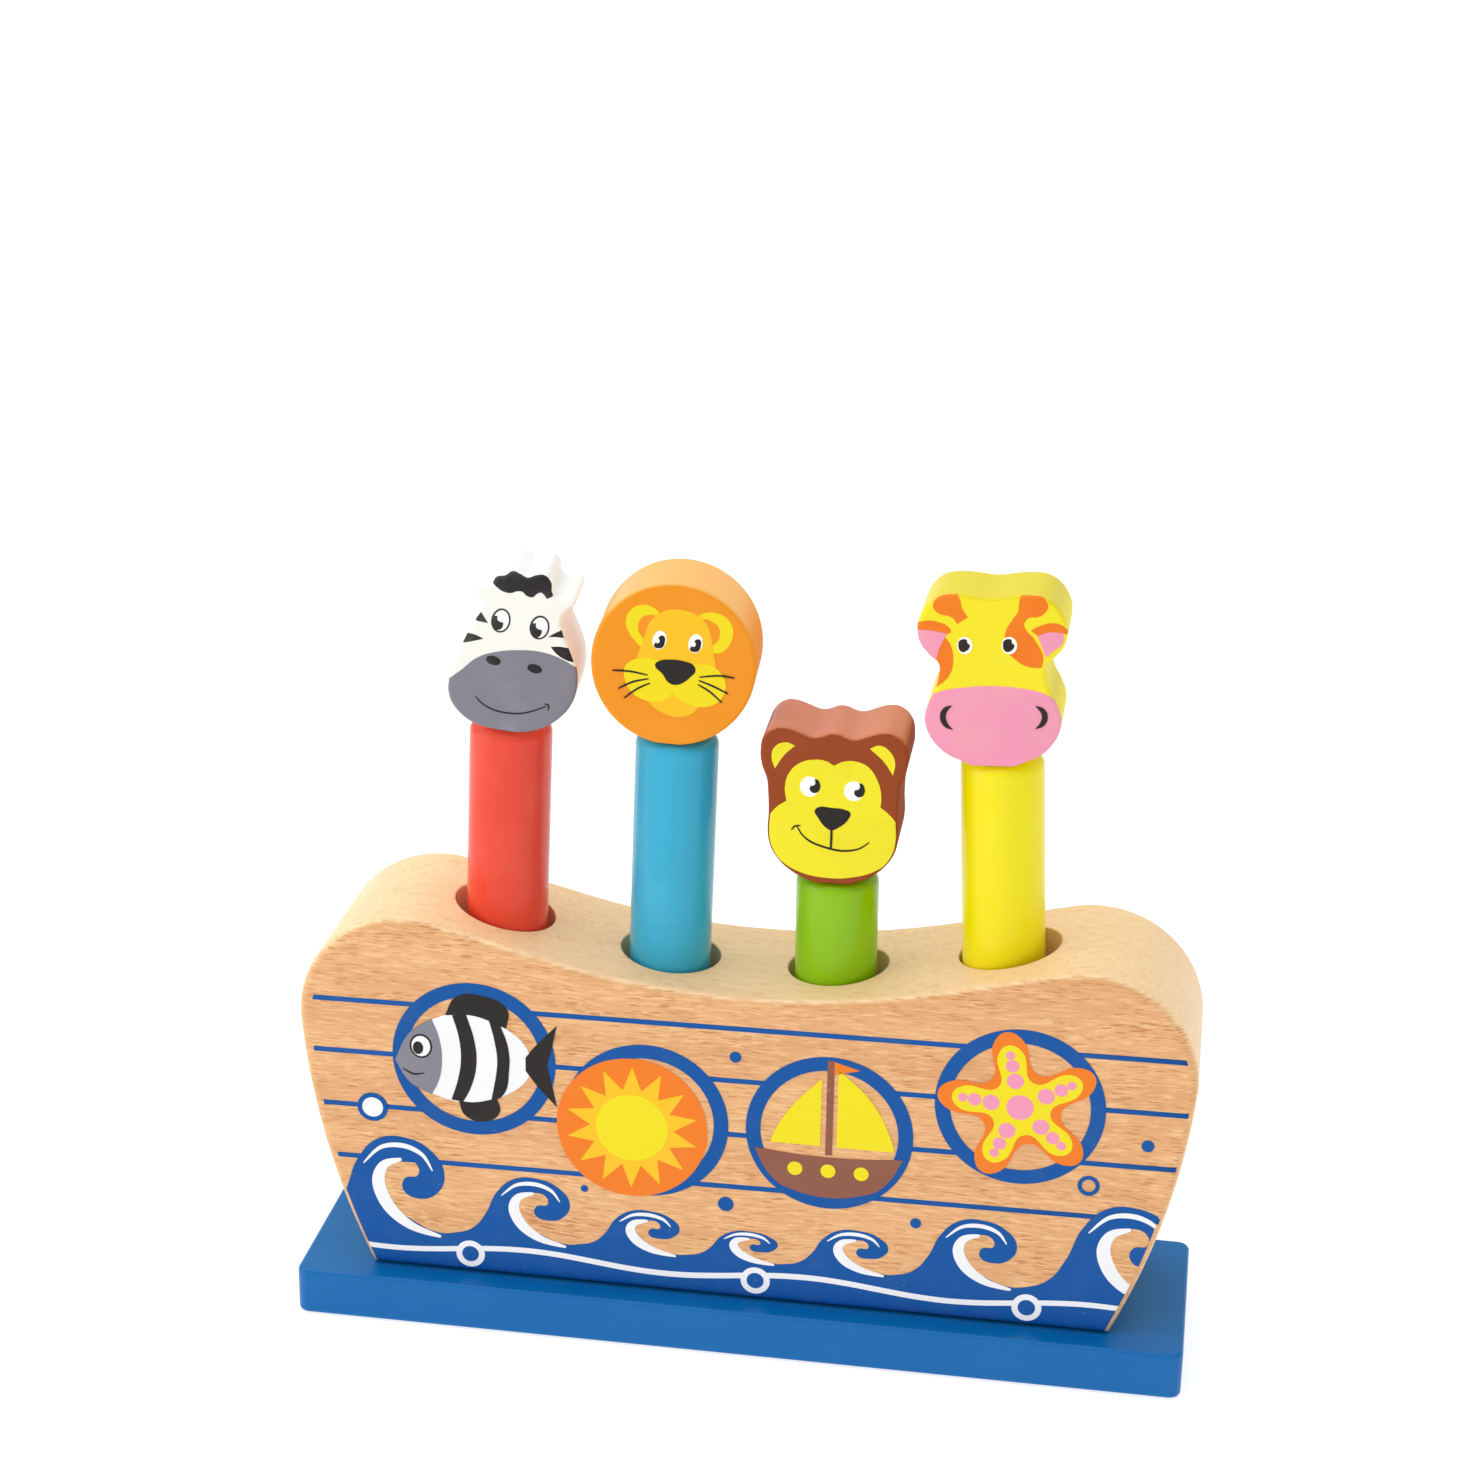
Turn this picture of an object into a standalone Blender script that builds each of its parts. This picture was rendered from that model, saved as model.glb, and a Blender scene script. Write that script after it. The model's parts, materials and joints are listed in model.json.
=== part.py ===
"""Pop-up peg ark, a wooden spring toy.

Four round pegs with flat animal heads stand on coil springs in a drilled ark-shaped block. The block is
screwed to a base board from beneath. Pressing a peg squeezes its spring, and letting go throws the peg out.
Units are metres, +Z is up, and the origin is the middle of the board's underside. The front faces -Y.
"""

import math

import bmesh
import bpy
from mathutils import Matrix, Vector

# Base board
BOARD_LENGTH = 0.218
BOARD_DEPTH = 0.056
BOARD_THICKNESS = 0.012
BOARD_CORNER_RADIUS = 0.003
BOARD_EDGE_ROUND = 0.001

# Ark-shaped block: widest near its shoulders, with a dip in the deck and sides that bow in to the foot
HULL_LENGTH = 0.216
HULL_FOOT_LENGTH = 0.1818
HULL_THICKNESS = 0.0434
HULL_HEIGHT = 0.0941
DECK_DIP = 0.01345
DECK_RADIUS = 0.196
SHOULDER_RADIUS = 0.0266
SIDE_RADIUS = 0.192
HULL_EDGE_ROUND = 0.0022
SIDE_ARC_STEPS = 7
SHOULDER_ARC_STEPS = 11
DECK_ARC_STEPS = 14

# Pegs and their bores
PEG_PITCH = 0.041
BORE_DIAMETER = 0.0242
SHAFT_DIAMETER = 0.0197
SHAFT_LENGTH = 0.0844
SHAFT_TOP_ROUND = 0.0027
SHAFT_FOOT_ROUND = 0.0012
PRESS_TRAVEL = 0.032
SHAFT_STEPS = 28
BORE_STEPS = 32

# Dowels that hold the heads on the shafts
DOWEL_DIAMETER = 0.008
DOWEL_HOLE_DEPTH = 0.013
DOWEL_CHAMFER = 0.0008
DOWEL_STEPS = 20

# Heads, sawn from board and rounded at the edges
HEAD_THICKNESS = 0.0195
HEAD_EDGE_ROUND = 0.001
ZEBRA_WIDTH = 0.0300
ZEBRA_HEIGHT = 0.0394
LION_WIDTH = 0.0384
LION_HEIGHT = 0.0398
LION_SEAT_FLAT_DEPTH = 0.0002
LION_STEPS = 44
MONKEY_WIDTH = 0.0344
MONKEY_HEIGHT = 0.0389
GIRAFFE_WIDTH = 0.0340
GIRAFFE_HEIGHT = 0.0413

# Springs: an eye under the washer, a run-out to the full coil, a closed coil, open coils and a closed top coil
SPRING_FREE_HEIGHT = 0.054
SPRING_WIRE = 0.0012
SPRING_OUTER_DIAMETER = 0.018
SPRING_EYE_RADIUS = 0.003
SPRING_CLOSED_PITCH = 0.00168
SPRING_RUN_OUT_TURNS = 1.5
SPRING_FLAT_TURNS = 1.0
SPRING_CLOSED_TURNS = 1.0
SPRING_OPEN_TURNS = 6.0
SPRING_POINTS_PER_TURN = 9
SPRING_GAP_POINTS_PER_TURN = 60

# Washer and pan-head screw that hold each spring's eye to the board
WASHER_DIAMETER = 0.011
WASHER_HOLE_DIAMETER = 0.0036
WASHER_THICKNESS = 0.0008
SPRING_SCREW_DIAMETER = 0.003
SPRING_SCREW_HEAD_DIAMETER = 0.006
SPRING_SCREW_HEAD_HEIGHT = 0.0018
SPRING_SCREW_GRIP_IN_BOARD = 0.007
SCREW_TIP_LENGTH = 0.002
SCREW_STEPS = 16
WASHER_STEPS = 20

# Countersunk screws from beneath the board into the block
BASE_SCREW_DIAMETER = 0.004
BASE_SCREW_HEAD_DIAMETER = 0.008
BASE_SCREW_HEAD_HEIGHT = 0.0025
BASE_SCREW_GRIP_IN_HULL = 0.022
BASE_SCREW_RECESS = 0.0005
HOLE_END_ROOM = 0.001

# Clearance between pieces that touch, and the overrun of a cutter past the face it opens
FIT_GAP = 0.0003
CUT_OVERRUN = 0.002

# Outlines of the heads, as shares of half the width and of the height. Each starts at the right end of the seat
# and runs up the right side. The zebra's goes all the way round, with the mane's lobes on top, and the other
# two end at the middle of the top and are mirrored.
ZEBRA_OUTLINE_SHARES = [
    (0.11, 0.0), (0.32, 0.015), (0.58, 0.063), (0.80, 0.137), (0.95, 0.234), (1.0, 0.34), (0.96, 0.457),
    (0.84, 0.561), (0.70, 0.66), (0.64, 0.751), (0.72, 0.817), (0.82, 0.863), (0.72, 0.888), (0.55, 0.876),
    (0.45, 0.893), (0.40, 0.964), (0.29, 1.0), (0.16, 0.992), (0.04, 0.97), (-0.09, 0.987), (-0.20, 0.997),
    (-0.31, 0.964), (-0.44, 0.947), (-0.50, 0.904), (-0.60, 0.876), (-0.72, 0.871), (-0.74, 0.832),
    (-0.63, 0.769), (-0.68, 0.695), (-0.82, 0.566), (-0.93, 0.421), (-1.0, 0.279), (-0.97, 0.168),
    (-0.82, 0.086), (-0.56, 0.023), (-0.32, 0.004), (-0.11, 0.0),
]
MONKEY_OUTLINE_SHARES = [
    (0.20, 0.0), (0.36, 0.021), (0.55, 0.064), (0.72, 0.129), (0.85, 0.221), (0.89, 0.321), (0.88, 0.437),
    (0.89, 0.566), (0.91, 0.656), (0.98, 0.746), (1.0, 0.835), (0.95, 0.933), (0.79, 0.995), (0.65, 1.0),
    (0.47, 0.977), (0.35, 0.956), (0.26, 0.949), (0.15, 0.961), (0.06, 0.977),
]
GIRAFFE_OUTLINE_SHARES = [
    (0.25, 0.0), (0.44, 0.029), (0.64, 0.07), (0.80, 0.136), (0.90, 0.218), (0.92, 0.286), (0.86, 0.373),
    (0.77, 0.45), (0.72, 0.533), (0.72, 0.596), (0.84, 0.649), (0.95, 0.707), (1.0, 0.785), (0.96, 0.872),
    (0.85, 0.944), (0.69, 0.988), (0.48, 1.0), (0.24, 0.993), (0.07, 0.983),
]

# Each peg stands a little askew in its bore: deck and foot shares are where its axis lies at the deck and at
# its foot, as shares of the side play. As shares of a right angle, lean_share tips the head sideways on its
# shaft, and turn_share turns the peg about its own axis. off_centre_share moves the head along X, as a share
# of its half width.
PEGS = [
    {"animal": "zebra", "slot": -1.5, "deck_shares": (0.39, -0.77), "foot_shares": (-0.04, -0.77),
     "lean_share": 0.057, "turn_share": 0.055, "off_centre_share": 0.02, "pressed": False,
     "colour": (0.83, 0.10, 0.06, 1)},
    {"animal": "lion", "slot": -0.5, "deck_shares": (0.03, -0.80), "foot_shares": (-0.25, -0.74),
     "lean_share": 0.019, "turn_share": 0.041, "off_centre_share": -0.065, "pressed": False,
     "colour": (0.07, 0.45, 0.66, 1)},
    {"animal": "monkey", "slot": 0.5, "deck_shares": (-0.21, -0.80), "foot_shares": (0.02, -0.80),
     "lean_share": 0.0, "turn_share": 0.011, "off_centre_share": -0.03, "pressed": True,
     "colour": (0.28, 0.54, 0.02, 1)},
    {"animal": "giraffe", "slot": 1.5, "deck_shares": (-0.68, -0.62), "foot_shares": (0.14, -0.62),
     "lean_share": 0.0, "turn_share": 0.0, "off_centre_share": -0.085, "pressed": False,
     "colour": (0.90, 0.80, 0.03, 1)},
]

for stale in list(bpy.data.objects):
    bpy.data.objects.remove(stale)

parts = bpy.data.collections.new("pop_up_peg_ark")
cutters = bpy.data.collections.new("cutters")
guides = bpy.data.collections.new("guides")
for collection in (parts, cutters, guides):
    bpy.context.scene.collection.children.link(collection)


def material(name, colour, roughness, metallic=0.0):
    made = bpy.data.materials.new(name)
    made.use_nodes = True
    shader = made.node_tree.nodes["Principled BSDF"]
    shader.inputs["Base Color"].default_value = colour
    shader.inputs["Roughness"].default_value = roughness
    shader.inputs["Metallic"].default_value = metallic
    return made


BEECH = material("oiled_beech", (0.78, 0.50, 0.24, 1), 0.55)
BOARD_BLUE = material("blue_paint", (0.014, 0.15, 0.43, 1), 0.4)
SPRING_STEEL = material("spring_steel", (0.55, 0.55, 0.57, 1), 0.35, 1.0)
ZINC = material("zinc_plated_steel", (0.62, 0.62, 0.60, 1), 0.4, 1.0)
HEAD_PAINTS = {
    "zebra": material("white_paint", (0.90, 0.90, 0.84, 1), 0.45),
    "lion": material("orange_paint", (0.88, 0.32, 0.02, 1), 0.45),
    "monkey": material("brown_paint", (0.37, 0.07, 0.02, 1), 0.45),
    "giraffe": material("yellow_paint", (0.90, 0.80, 0.03, 1), 0.45),
}


def place(name, data, paint=None, collection=parts):
    made = bpy.data.objects.new(name, data)
    collection.objects.link(made)
    if paint:
        data.materials.append(paint)
    return made


def as_cutter(made):
    made.hide_render = True
    made.display_type = "WIRE"
    for home in list(made.users_collection):
        home.objects.unlink(made)
    cutters.objects.link(made)
    return made


def smooth(mesh):
    mesh.shade_smooth()
    mesh.set_sharp_from_angle(angle=math.radians(35))


def turned(name, profile, steps, paint=None):
    """A piece turned about its own Z axis. The profile runs down the outer side, from the axis to the axis."""
    mesh = bpy.data.meshes.new(name)
    ring = bmesh.new()
    corners = [ring.verts.new((radius, 0, height)) for radius, height in profile]
    for upper, lower in zip(corners, corners[1:]):
        ring.edges.new((upper, lower))
    ring.to_mesh(mesh)
    ring.free()
    made = place(name, mesh, paint)
    screw = made.modifiers.new("turn", "SCREW")
    screw.steps = screw.render_steps = steps
    screw.use_merge_vertices = True
    screw.merge_threshold = 1e-6
    screw.use_smooth_shade = True
    return made


def quarter_arc(radius, start_degrees, steps):
    """Offsets from the centre of a rounded edge, turning clockwise from the start angle."""
    for step in range(steps + 1):
        angle = math.radians(start_degrees - 90 * step / steps)
        yield radius * math.cos(angle), radius * math.sin(angle)


def as_mesh(made, name, paint):
    """The curve object as a welded mesh object in the same place, so that it can be cut."""
    bpy.context.view_layer.update()
    mesh = bpy.data.meshes.new_from_object(made.evaluated_get(bpy.context.evaluated_depsgraph_get()))
    welded = bmesh.new()
    welded.from_mesh(mesh)
    bmesh.ops.remove_doubles(welded, verts=welded.verts, dist=1e-6)
    bmesh.ops.recalc_face_normals(welded, faces=welded.faces)
    welded.to_mesh(mesh)
    welded.free()
    mesh.name = name
    solid = place(name, mesh)
    solid.matrix_world = made.matrix_world
    bpy.data.objects.remove(made)
    mesh.materials.clear()
    mesh.materials.append(paint)
    smooth(mesh)
    return solid


def outline_block(name, points, thickness, edge_round, paint, curved):
    """A flat block with rounded edges, its outline given in X and Z and its thickness centred on Y."""
    curve = bpy.data.curves.new(name + "_outline", "CURVE")
    curve.dimensions = "2D"
    curve.fill_mode = "BOTH"
    curve.extrude = thickness / 2 - edge_round
    curve.bevel_depth = edge_round
    curve.bevel_resolution = 1
    curve.offset = -edge_round
    curve.resolution_u = 2
    if curved:
        spline = curve.splines.new("BEZIER")
        spline.bezier_points.add(len(points) - 1)
        for knot, (x, z) in zip(spline.bezier_points, points):
            knot.co = (x, z, 0)
            knot.handle_left_type = knot.handle_right_type = "AUTO"
        spline.bezier_points[0].handle_left_type = "VECTOR"
        spline.bezier_points[-1].handle_right_type = "VECTOR"
    else:
        spline = curve.splines.new("POLY")
        spline.points.add(len(points) - 1)
        for knot, (x, z) in zip(spline.points, points):
            knot.co = (x, z, 0, 1)
    spline.use_cyclic_u = True
    made = place(name + "_outline", curve)
    made.rotation_euler.x = math.radians(90)
    return as_mesh(made, name, paint)


def cut(made, cutter):
    boolean = made.modifiers.new(cutter.name, "BOOLEAN")
    boolean.operation = "DIFFERENCE"
    boolean.object = cutter


def drill(name, diameter, low, high, x, steps):
    """A round cutter from low to high at X on the middle plane."""
    radius = diameter / 2
    made = turned(name, [(0, high), (radius, high), (radius, low), (0, low)], steps)
    made.location.x = x
    return as_cutter(made)


def tangent_centre(centre, radius, point, reach):
    """The middle of a circle of the given reach that passes through the point, bows out to +X and holds the
    smaller circle inside it, touching."""
    gap = Vector(point) - Vector(centre)
    near, far = reach - radius, reach
    along = (near**2 - far**2 + gap.length**2) / (2 * gap.length)
    aside = math.sqrt(max(near**2 - along**2, 0))
    direction = gap.normalized()
    sides = [Vector(centre) + along * direction + aside * side * Vector((-direction.y, direction.x))
             for side in (-1, 1)]
    return min(sides, key=lambda middle: middle.x)


def arc(centre, radius, start, end, steps):
    """Points on a circle from one angle to another, without the last."""
    for step in range(steps):
        angle = start + (end - start) * step / steps
        yield centre[0] + radius * math.cos(angle), centre[1] + radius * math.sin(angle)


def angle_of(from_point, to_point):
    return math.atan2(to_point[1] - from_point[1], to_point[0] - from_point[0])


# The block's outline: foot corner, side arc, shoulder arc, straight slope, deck arc and the same mirrored.
# The slope touches the shoulder's arc from above and the deck's arc from below.
hull_foot_height = BOARD_THICKNESS + FIT_GAP
hull_top = BOARD_THICKNESS + HULL_HEIGHT
deck_middle = hull_top - DECK_DIP
foot_corner = Vector((HULL_FOOT_LENGTH / 2, hull_foot_height))
shoulder_centre = Vector((HULL_LENGTH / 2 - SHOULDER_RADIUS, hull_top - SHOULDER_RADIUS))
side_centre = tangent_centre(shoulder_centre, SHOULDER_RADIUS, foot_corner, SIDE_RADIUS)
deck_centre = Vector((0, deck_middle + DECK_RADIUS))
centres_apart = (deck_centre - shoulder_centre).length
slope_turn = math.acos(min((DECK_RADIUS + SHOULDER_RADIUS) / centres_apart, 1))
slope_normal = angle_of(shoulder_centre, deck_centre) - slope_turn
slope_up = Vector((math.cos(slope_normal), math.sin(slope_normal)))
slope_foot = deck_centre - DECK_RADIUS * slope_up


def deck_height(x):
    """Height of the deck above the board's underside at X, short of the shoulders."""
    if abs(x) < slope_foot.x:
        return deck_centre.y - math.sqrt(DECK_RADIUS**2 - x**2)
    return slope_foot.y - (abs(x) - slope_foot.x) / math.tan(slope_normal)


def hull_outline():
    foot_angle = angle_of(side_centre, foot_corner)
    side_end = angle_of(side_centre, shoulder_centre)
    deck_left = slope_normal - math.radians(180)
    half = list(arc(side_centre, SIDE_RADIUS, foot_angle, side_end, SIDE_ARC_STEPS))
    half += arc(shoulder_centre, SHOULDER_RADIUS, side_end, slope_normal, SHOULDER_ARC_STEPS)
    half.append(tuple(shoulder_centre + SHOULDER_RADIUS * slope_up))
    half += arc(deck_centre, DECK_RADIUS, deck_left, math.radians(-90), DECK_ARC_STEPS // 2)
    return half + [(0, deck_middle)] + [(-x, z) for x, z in reversed(half)]


def base_board():
    """The board, with its upright corners and then its flat edges rounded."""
    mesh = bpy.data.meshes.new("base_board")
    board = bmesh.new()
    bmesh.ops.create_cube(board, size=1)
    bmesh.ops.scale(board, vec=(BOARD_LENGTH, BOARD_DEPTH, BOARD_THICKNESS), verts=board.verts)
    bmesh.ops.translate(board, vec=(0, 0, BOARD_THICKNESS / 2), verts=board.verts)
    upright = [edge for edge in board.edges
               if abs(edge.verts[0].co.z - edge.verts[1].co.z) > BOARD_THICKNESS / 2]
    bmesh.ops.bevel(board, geom=upright, offset=BOARD_CORNER_RADIUS, segments=4, profile=0.5, affect="EDGES")
    rims = [edge for edge in board.edges if abs(edge.verts[0].co.z - edge.verts[1].co.z) < BOARD_EDGE_ROUND / 2]
    bmesh.ops.bevel(board, geom=rims, offset=BOARD_EDGE_ROUND, segments=2, profile=0.5, affect="EDGES")
    board.to_mesh(mesh)
    board.free()
    smooth(mesh)
    made = place("base_board", mesh, BOARD_BLUE)
    for number, x in enumerate(base_screw_places, 1):
        cut(made, base_screw_hole(f"base_screw_hole_{number}", x))
    for peg in PEGS:
        name = peg["animal"] + "_spring_screw_pilot"
        diameter = SPRING_SCREW_DIAMETER + 2 * FIT_GAP
        low = BOARD_THICKNESS - SPRING_SCREW_GRIP_IN_BOARD - HOLE_END_ROOM
        cut(made, drill(name, diameter, low, BOARD_THICKNESS + CUT_OVERRUN, peg_x(peg), SCREW_STEPS))
    return made


def base_screw_hole(name, x):
    """A clearance hole with a countersink at the underside."""
    radius = BASE_SCREW_DIAMETER / 2 + FIT_GAP
    head_radius = BASE_SCREW_HEAD_DIAMETER / 2 + FIT_GAP
    sink_top = BASE_SCREW_RECESS + BASE_SCREW_HEAD_HEIGHT + FIT_GAP
    profile = [(0, BOARD_THICKNESS + CUT_OVERRUN), (radius, BOARD_THICKNESS + CUT_OVERRUN), (radius, sink_top),
               (head_radius, BASE_SCREW_RECESS), (head_radius, -CUT_OVERRUN), (0, -CUT_OVERRUN)]
    made = turned(name, profile, SCREW_STEPS)
    made.location.x = x
    return as_cutter(made)


def ark_hull():
    """The drilled block: bores right through for the pegs, and pilot holes for the base screws."""
    made = outline_block("ark_hull", hull_outline(), HULL_THICKNESS, HULL_EDGE_ROUND, BEECH, curved=False)
    low = hull_foot_height - CUT_OVERRUN
    for peg in PEGS:
        cut(made, drill(peg["animal"] + "_bore", BORE_DIAMETER, low, hull_top + CUT_OVERRUN, peg_x(peg), BORE_STEPS))
    for number, x in enumerate(base_screw_places, 1):
        diameter = BASE_SCREW_DIAMETER + 2 * FIT_GAP
        high = hull_foot_height + BASE_SCREW_GRIP_IN_HULL + HOLE_END_ROOM
        cut(made, drill(f"base_screw_pilot_{number}", diameter, low, high, x, SCREW_STEPS))
    return made


def base_screw(name, x):
    """A countersunk wood screw, head down, a little below the board's underside."""
    radius = BASE_SCREW_DIAMETER / 2
    tip = hull_foot_height + BASE_SCREW_GRIP_IN_HULL
    sink_top = BASE_SCREW_RECESS + BASE_SCREW_HEAD_HEIGHT
    profile = [(0, tip), (radius, tip - SCREW_TIP_LENGTH), (radius, sink_top),
               (BASE_SCREW_HEAD_DIAMETER / 2, BASE_SCREW_RECESS), (0, BASE_SCREW_RECESS)]
    made = turned(name, profile, SCREW_STEPS, ZINC)
    made.location.x = x
    return made


def peg_x(peg):
    return peg["slot"] * PEG_PITCH


def spring_height(peg):
    return SPRING_FREE_HEIGHT - (PRESS_TRAVEL if peg["pressed"] else 0)


def spring_centre_line(height, points_per_turn):
    """Points along a spring's wire, from its eye on the board to the end of its closed top coil."""
    coil_radius = (SPRING_OUTER_DIAMETER - SPRING_WIRE) / 2
    closed_rise = SPRING_CLOSED_PITCH * SPRING_CLOSED_TURNS
    open_rise = height - SPRING_WIRE - 2 * closed_rise
    stages = [(SPRING_FLAT_TURNS, 0), (SPRING_CLOSED_TURNS, closed_rise), (SPRING_OPEN_TURNS, open_rise),
              (SPRING_CLOSED_TURNS, closed_rise)]
    total = sum(turns for turns, _ in stages)
    count = round(total * points_per_turn)
    for step in range(count + 1):
        turn = total * step / count
        run_out = min(turn / SPRING_RUN_OUT_TURNS, 1)
        radius = SPRING_EYE_RADIUS + (coil_radius - SPRING_EYE_RADIUS) * run_out
        rise, left = 0, turn
        for turns, stage_rise in stages:
            share = min(max(left / turns, 0), 1)
            rise += stage_rise * share
            left -= turns
        angle = 2 * math.pi * turn
        yield Vector((radius * math.cos(angle), radius * math.sin(angle), rise + SPRING_WIRE / 2))


def coil_spring(name, x, height):
    curve = bpy.data.curves.new(name, "CURVE")
    curve.dimensions = "3D"
    curve.bevel_depth = SPRING_WIRE / 2
    curve.bevel_resolution = 1
    curve.use_fill_caps = True
    points = list(spring_centre_line(height, SPRING_POINTS_PER_TURN))
    spline = curve.splines.new("POLY")
    spline.points.add(len(points) - 1)
    for knot, point in zip(spline.points, points):
        knot.co = (*point, 1)
    made = place(name, curve, SPRING_STEEL)
    made.location = (x, 0, BOARD_THICKNESS + FIT_GAP)
    fine = list(spring_centre_line(height, SPRING_GAP_POINTS_PER_TURN))
    apart = SPRING_GAP_POINTS_PER_TURN // 2
    least = min((fine[i] - fine[j]).length for i in range(len(fine)) for j in range(i + apart, len(fine)))
    print(f"{name}: least gap between turns {(least - SPRING_WIRE) / 0.001:.2f} mm")
    return made


def spring_washer(name, x):
    """A flat washer on the spring's eye."""
    low = BOARD_THICKNESS + 2 * FIT_GAP + SPRING_WIRE
    outer, inner, high = WASHER_DIAMETER / 2, WASHER_HOLE_DIAMETER / 2, low + WASHER_THICKNESS
    made = turned(name, [(inner, high), (outer, high), (outer, low), (inner, low), (inner, high)],
                  WASHER_STEPS, ZINC)
    made.location.x = x
    return made


def spring_screw(name, x):
    """A pan-head screw through the washer and the spring's eye into the board."""
    seat = BOARD_THICKNESS + 3 * FIT_GAP + SPRING_WIRE + WASHER_THICKNESS
    radius, head_radius = SPRING_SCREW_DIAMETER / 2, SPRING_SCREW_HEAD_DIAMETER / 2
    tip = BOARD_THICKNESS - SPRING_SCREW_GRIP_IN_BOARD
    top = seat + SPRING_SCREW_HEAD_HEIGHT
    crown = SPRING_SCREW_HEAD_HEIGHT / 2
    dome = [(head_radius - crown + dx, top - crown + dz) for dx, dz in quarter_arc(crown, 90, 3)]
    profile = [(0, top)] + dome + [(head_radius, seat), (radius, seat), (radius, tip + SCREW_TIP_LENGTH), (0, tip)]
    made = turned(name, profile, SCREW_STEPS, ZINC)
    made.location.x = x
    return made


def peg_axis(peg):
    """Where a peg's axis crosses the level of its foot, and the axis as a unit vector."""
    play = (BORE_DIAMETER - SHAFT_DIAMETER) / 2
    foot_level = BOARD_THICKNESS + FIT_GAP + spring_height(peg)
    at_deck = Vector((peg_x(peg) + play * peg["deck_shares"][0], play * peg["deck_shares"][1],
                      deck_height(peg_x(peg))))
    at_foot = Vector((peg_x(peg) + play * peg["foot_shares"][0], play * peg["foot_shares"][1], foot_level))
    axis = (at_deck - at_foot).normalized()
    slope = math.hypot(axis.x, axis.y) / axis.z
    lift = FIT_GAP + SHAFT_DIAMETER / 2 * slope
    return at_foot + axis * (lift / axis.z), axis


def head_outline(peg):
    """The head's whole outline, its seat at height zero and its shaft's axis at X zero."""
    shares, width, height = {
        "zebra": (ZEBRA_OUTLINE_SHARES, ZEBRA_WIDTH, ZEBRA_HEIGHT),
        "monkey": (MONKEY_OUTLINE_SHARES, MONKEY_WIDTH, MONKEY_HEIGHT),
        "giraffe": (GIRAFFE_OUTLINE_SHARES, GIRAFFE_WIDTH, GIRAFFE_HEIGHT),
    }[peg["animal"]]
    outline = [(x * width / 2, z * height) for x, z in shares]
    if peg["animal"] != "zebra":
        outline += [(-x, z) for x, z in reversed(outline)]
    shift = peg["off_centre_share"] * width / 2
    return [(x + shift, z) for x, z in outline]


def lion_outline(peg):
    """A disc a little taller than wide, with a small flat where it sits on its shaft."""
    radius = LION_HEIGHT / 2
    flat_angle = math.acos((radius - LION_SEAT_FLAT_DEPTH) / radius)
    start = math.radians(-90) + flat_angle
    end = math.radians(270) - flat_angle
    round_points = list(arc((0, radius - LION_SEAT_FLAT_DEPTH), radius, start, end, LION_STEPS))
    round_points += [(-radius * math.sin(flat_angle), 0)]
    narrowing, shift = LION_WIDTH / LION_HEIGHT, peg["off_centre_share"] * LION_WIDTH / 2
    return [(x * narrowing + shift, z) for x, z in round_points]


def peg_pieces(peg):
    """A peg's shaft, head and dowel, on an empty whose Z axis is the shaft's."""
    animal = peg["animal"]
    foot, axis = peg_axis(peg)
    frame = place(animal + "_peg_axis", None, collection=guides)
    lean = Vector((0, 0, 1)).rotation_difference(axis)
    frame.matrix_world = Matrix.Translation(foot) @ lean.to_matrix().to_4x4()
    bpy.context.view_layer.update()

    radius, hole = SHAFT_DIAMETER / 2, DOWEL_DIAMETER / 2 + FIT_GAP
    top, hole_floor = SHAFT_LENGTH, SHAFT_LENGTH - DOWEL_HOLE_DEPTH
    shoulder = [(radius - SHAFT_TOP_ROUND + dx, top - SHAFT_TOP_ROUND + dz)
                for dx, dz in quarter_arc(SHAFT_TOP_ROUND, 90, 3)]
    foot_edge = [(radius - SHAFT_FOOT_ROUND + dx, SHAFT_FOOT_ROUND + dz)
                 for dx, dz in quarter_arc(SHAFT_FOOT_ROUND, 0, 2)]
    profile = [(0, hole_floor), (hole, hole_floor), (hole, top)] + shoulder + foot_edge + [(0, 0)]
    paint = material(animal + "_shaft_paint", peg["colour"], 0.35)
    shaft = turned(animal + "_peg_shaft", profile, SHAFT_STEPS, paint)

    tilt = math.radians(90) * peg["lean_share"]
    outline = lion_outline(peg) if animal == "lion" else head_outline(peg)
    head = outline_block(animal + "_head", outline, HEAD_THICKNESS, HEAD_EDGE_ROUND,
                         HEAD_PAINTS[animal], curved=animal != "lion")
    lowest = min(z * math.cos(tilt) - x * math.sin(tilt) for x, z in outline)
    seat = Matrix.Translation((0, 0, top + FIT_GAP - lowest))
    turn = Matrix.Rotation(math.radians(90) * peg["turn_share"], 4, "Z")
    head.matrix_world = seat @ turn @ Matrix.Rotation(tilt, 4, "Y") @ head.matrix_world
    bore_profile = [(0, top + DOWEL_HOLE_DEPTH), (hole, top + DOWEL_HOLE_DEPTH), (hole, top - CUT_OVERRUN),
                    (0, top - CUT_OVERRUN)]
    head_bore = as_cutter(turned(animal + "_head_bore", bore_profile, DOWEL_STEPS))
    cut(head, head_bore)

    pin, low, high = DOWEL_DIAMETER / 2, hole_floor + FIT_GAP, top + DOWEL_HOLE_DEPTH - FIT_GAP
    dowel_profile = [(0, high), (pin - DOWEL_CHAMFER, high), (pin, high - DOWEL_CHAMFER),
                     (pin, low + DOWEL_CHAMFER), (pin - DOWEL_CHAMFER, low), (0, low)]
    dowel = turned(animal + "_dowel", dowel_profile, DOWEL_STEPS, BEECH)
    for piece in (shaft, head, head_bore, dowel):
        piece.parent = frame


base_screw_places = [-PEG_PITCH, 0, PEG_PITCH]

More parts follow.
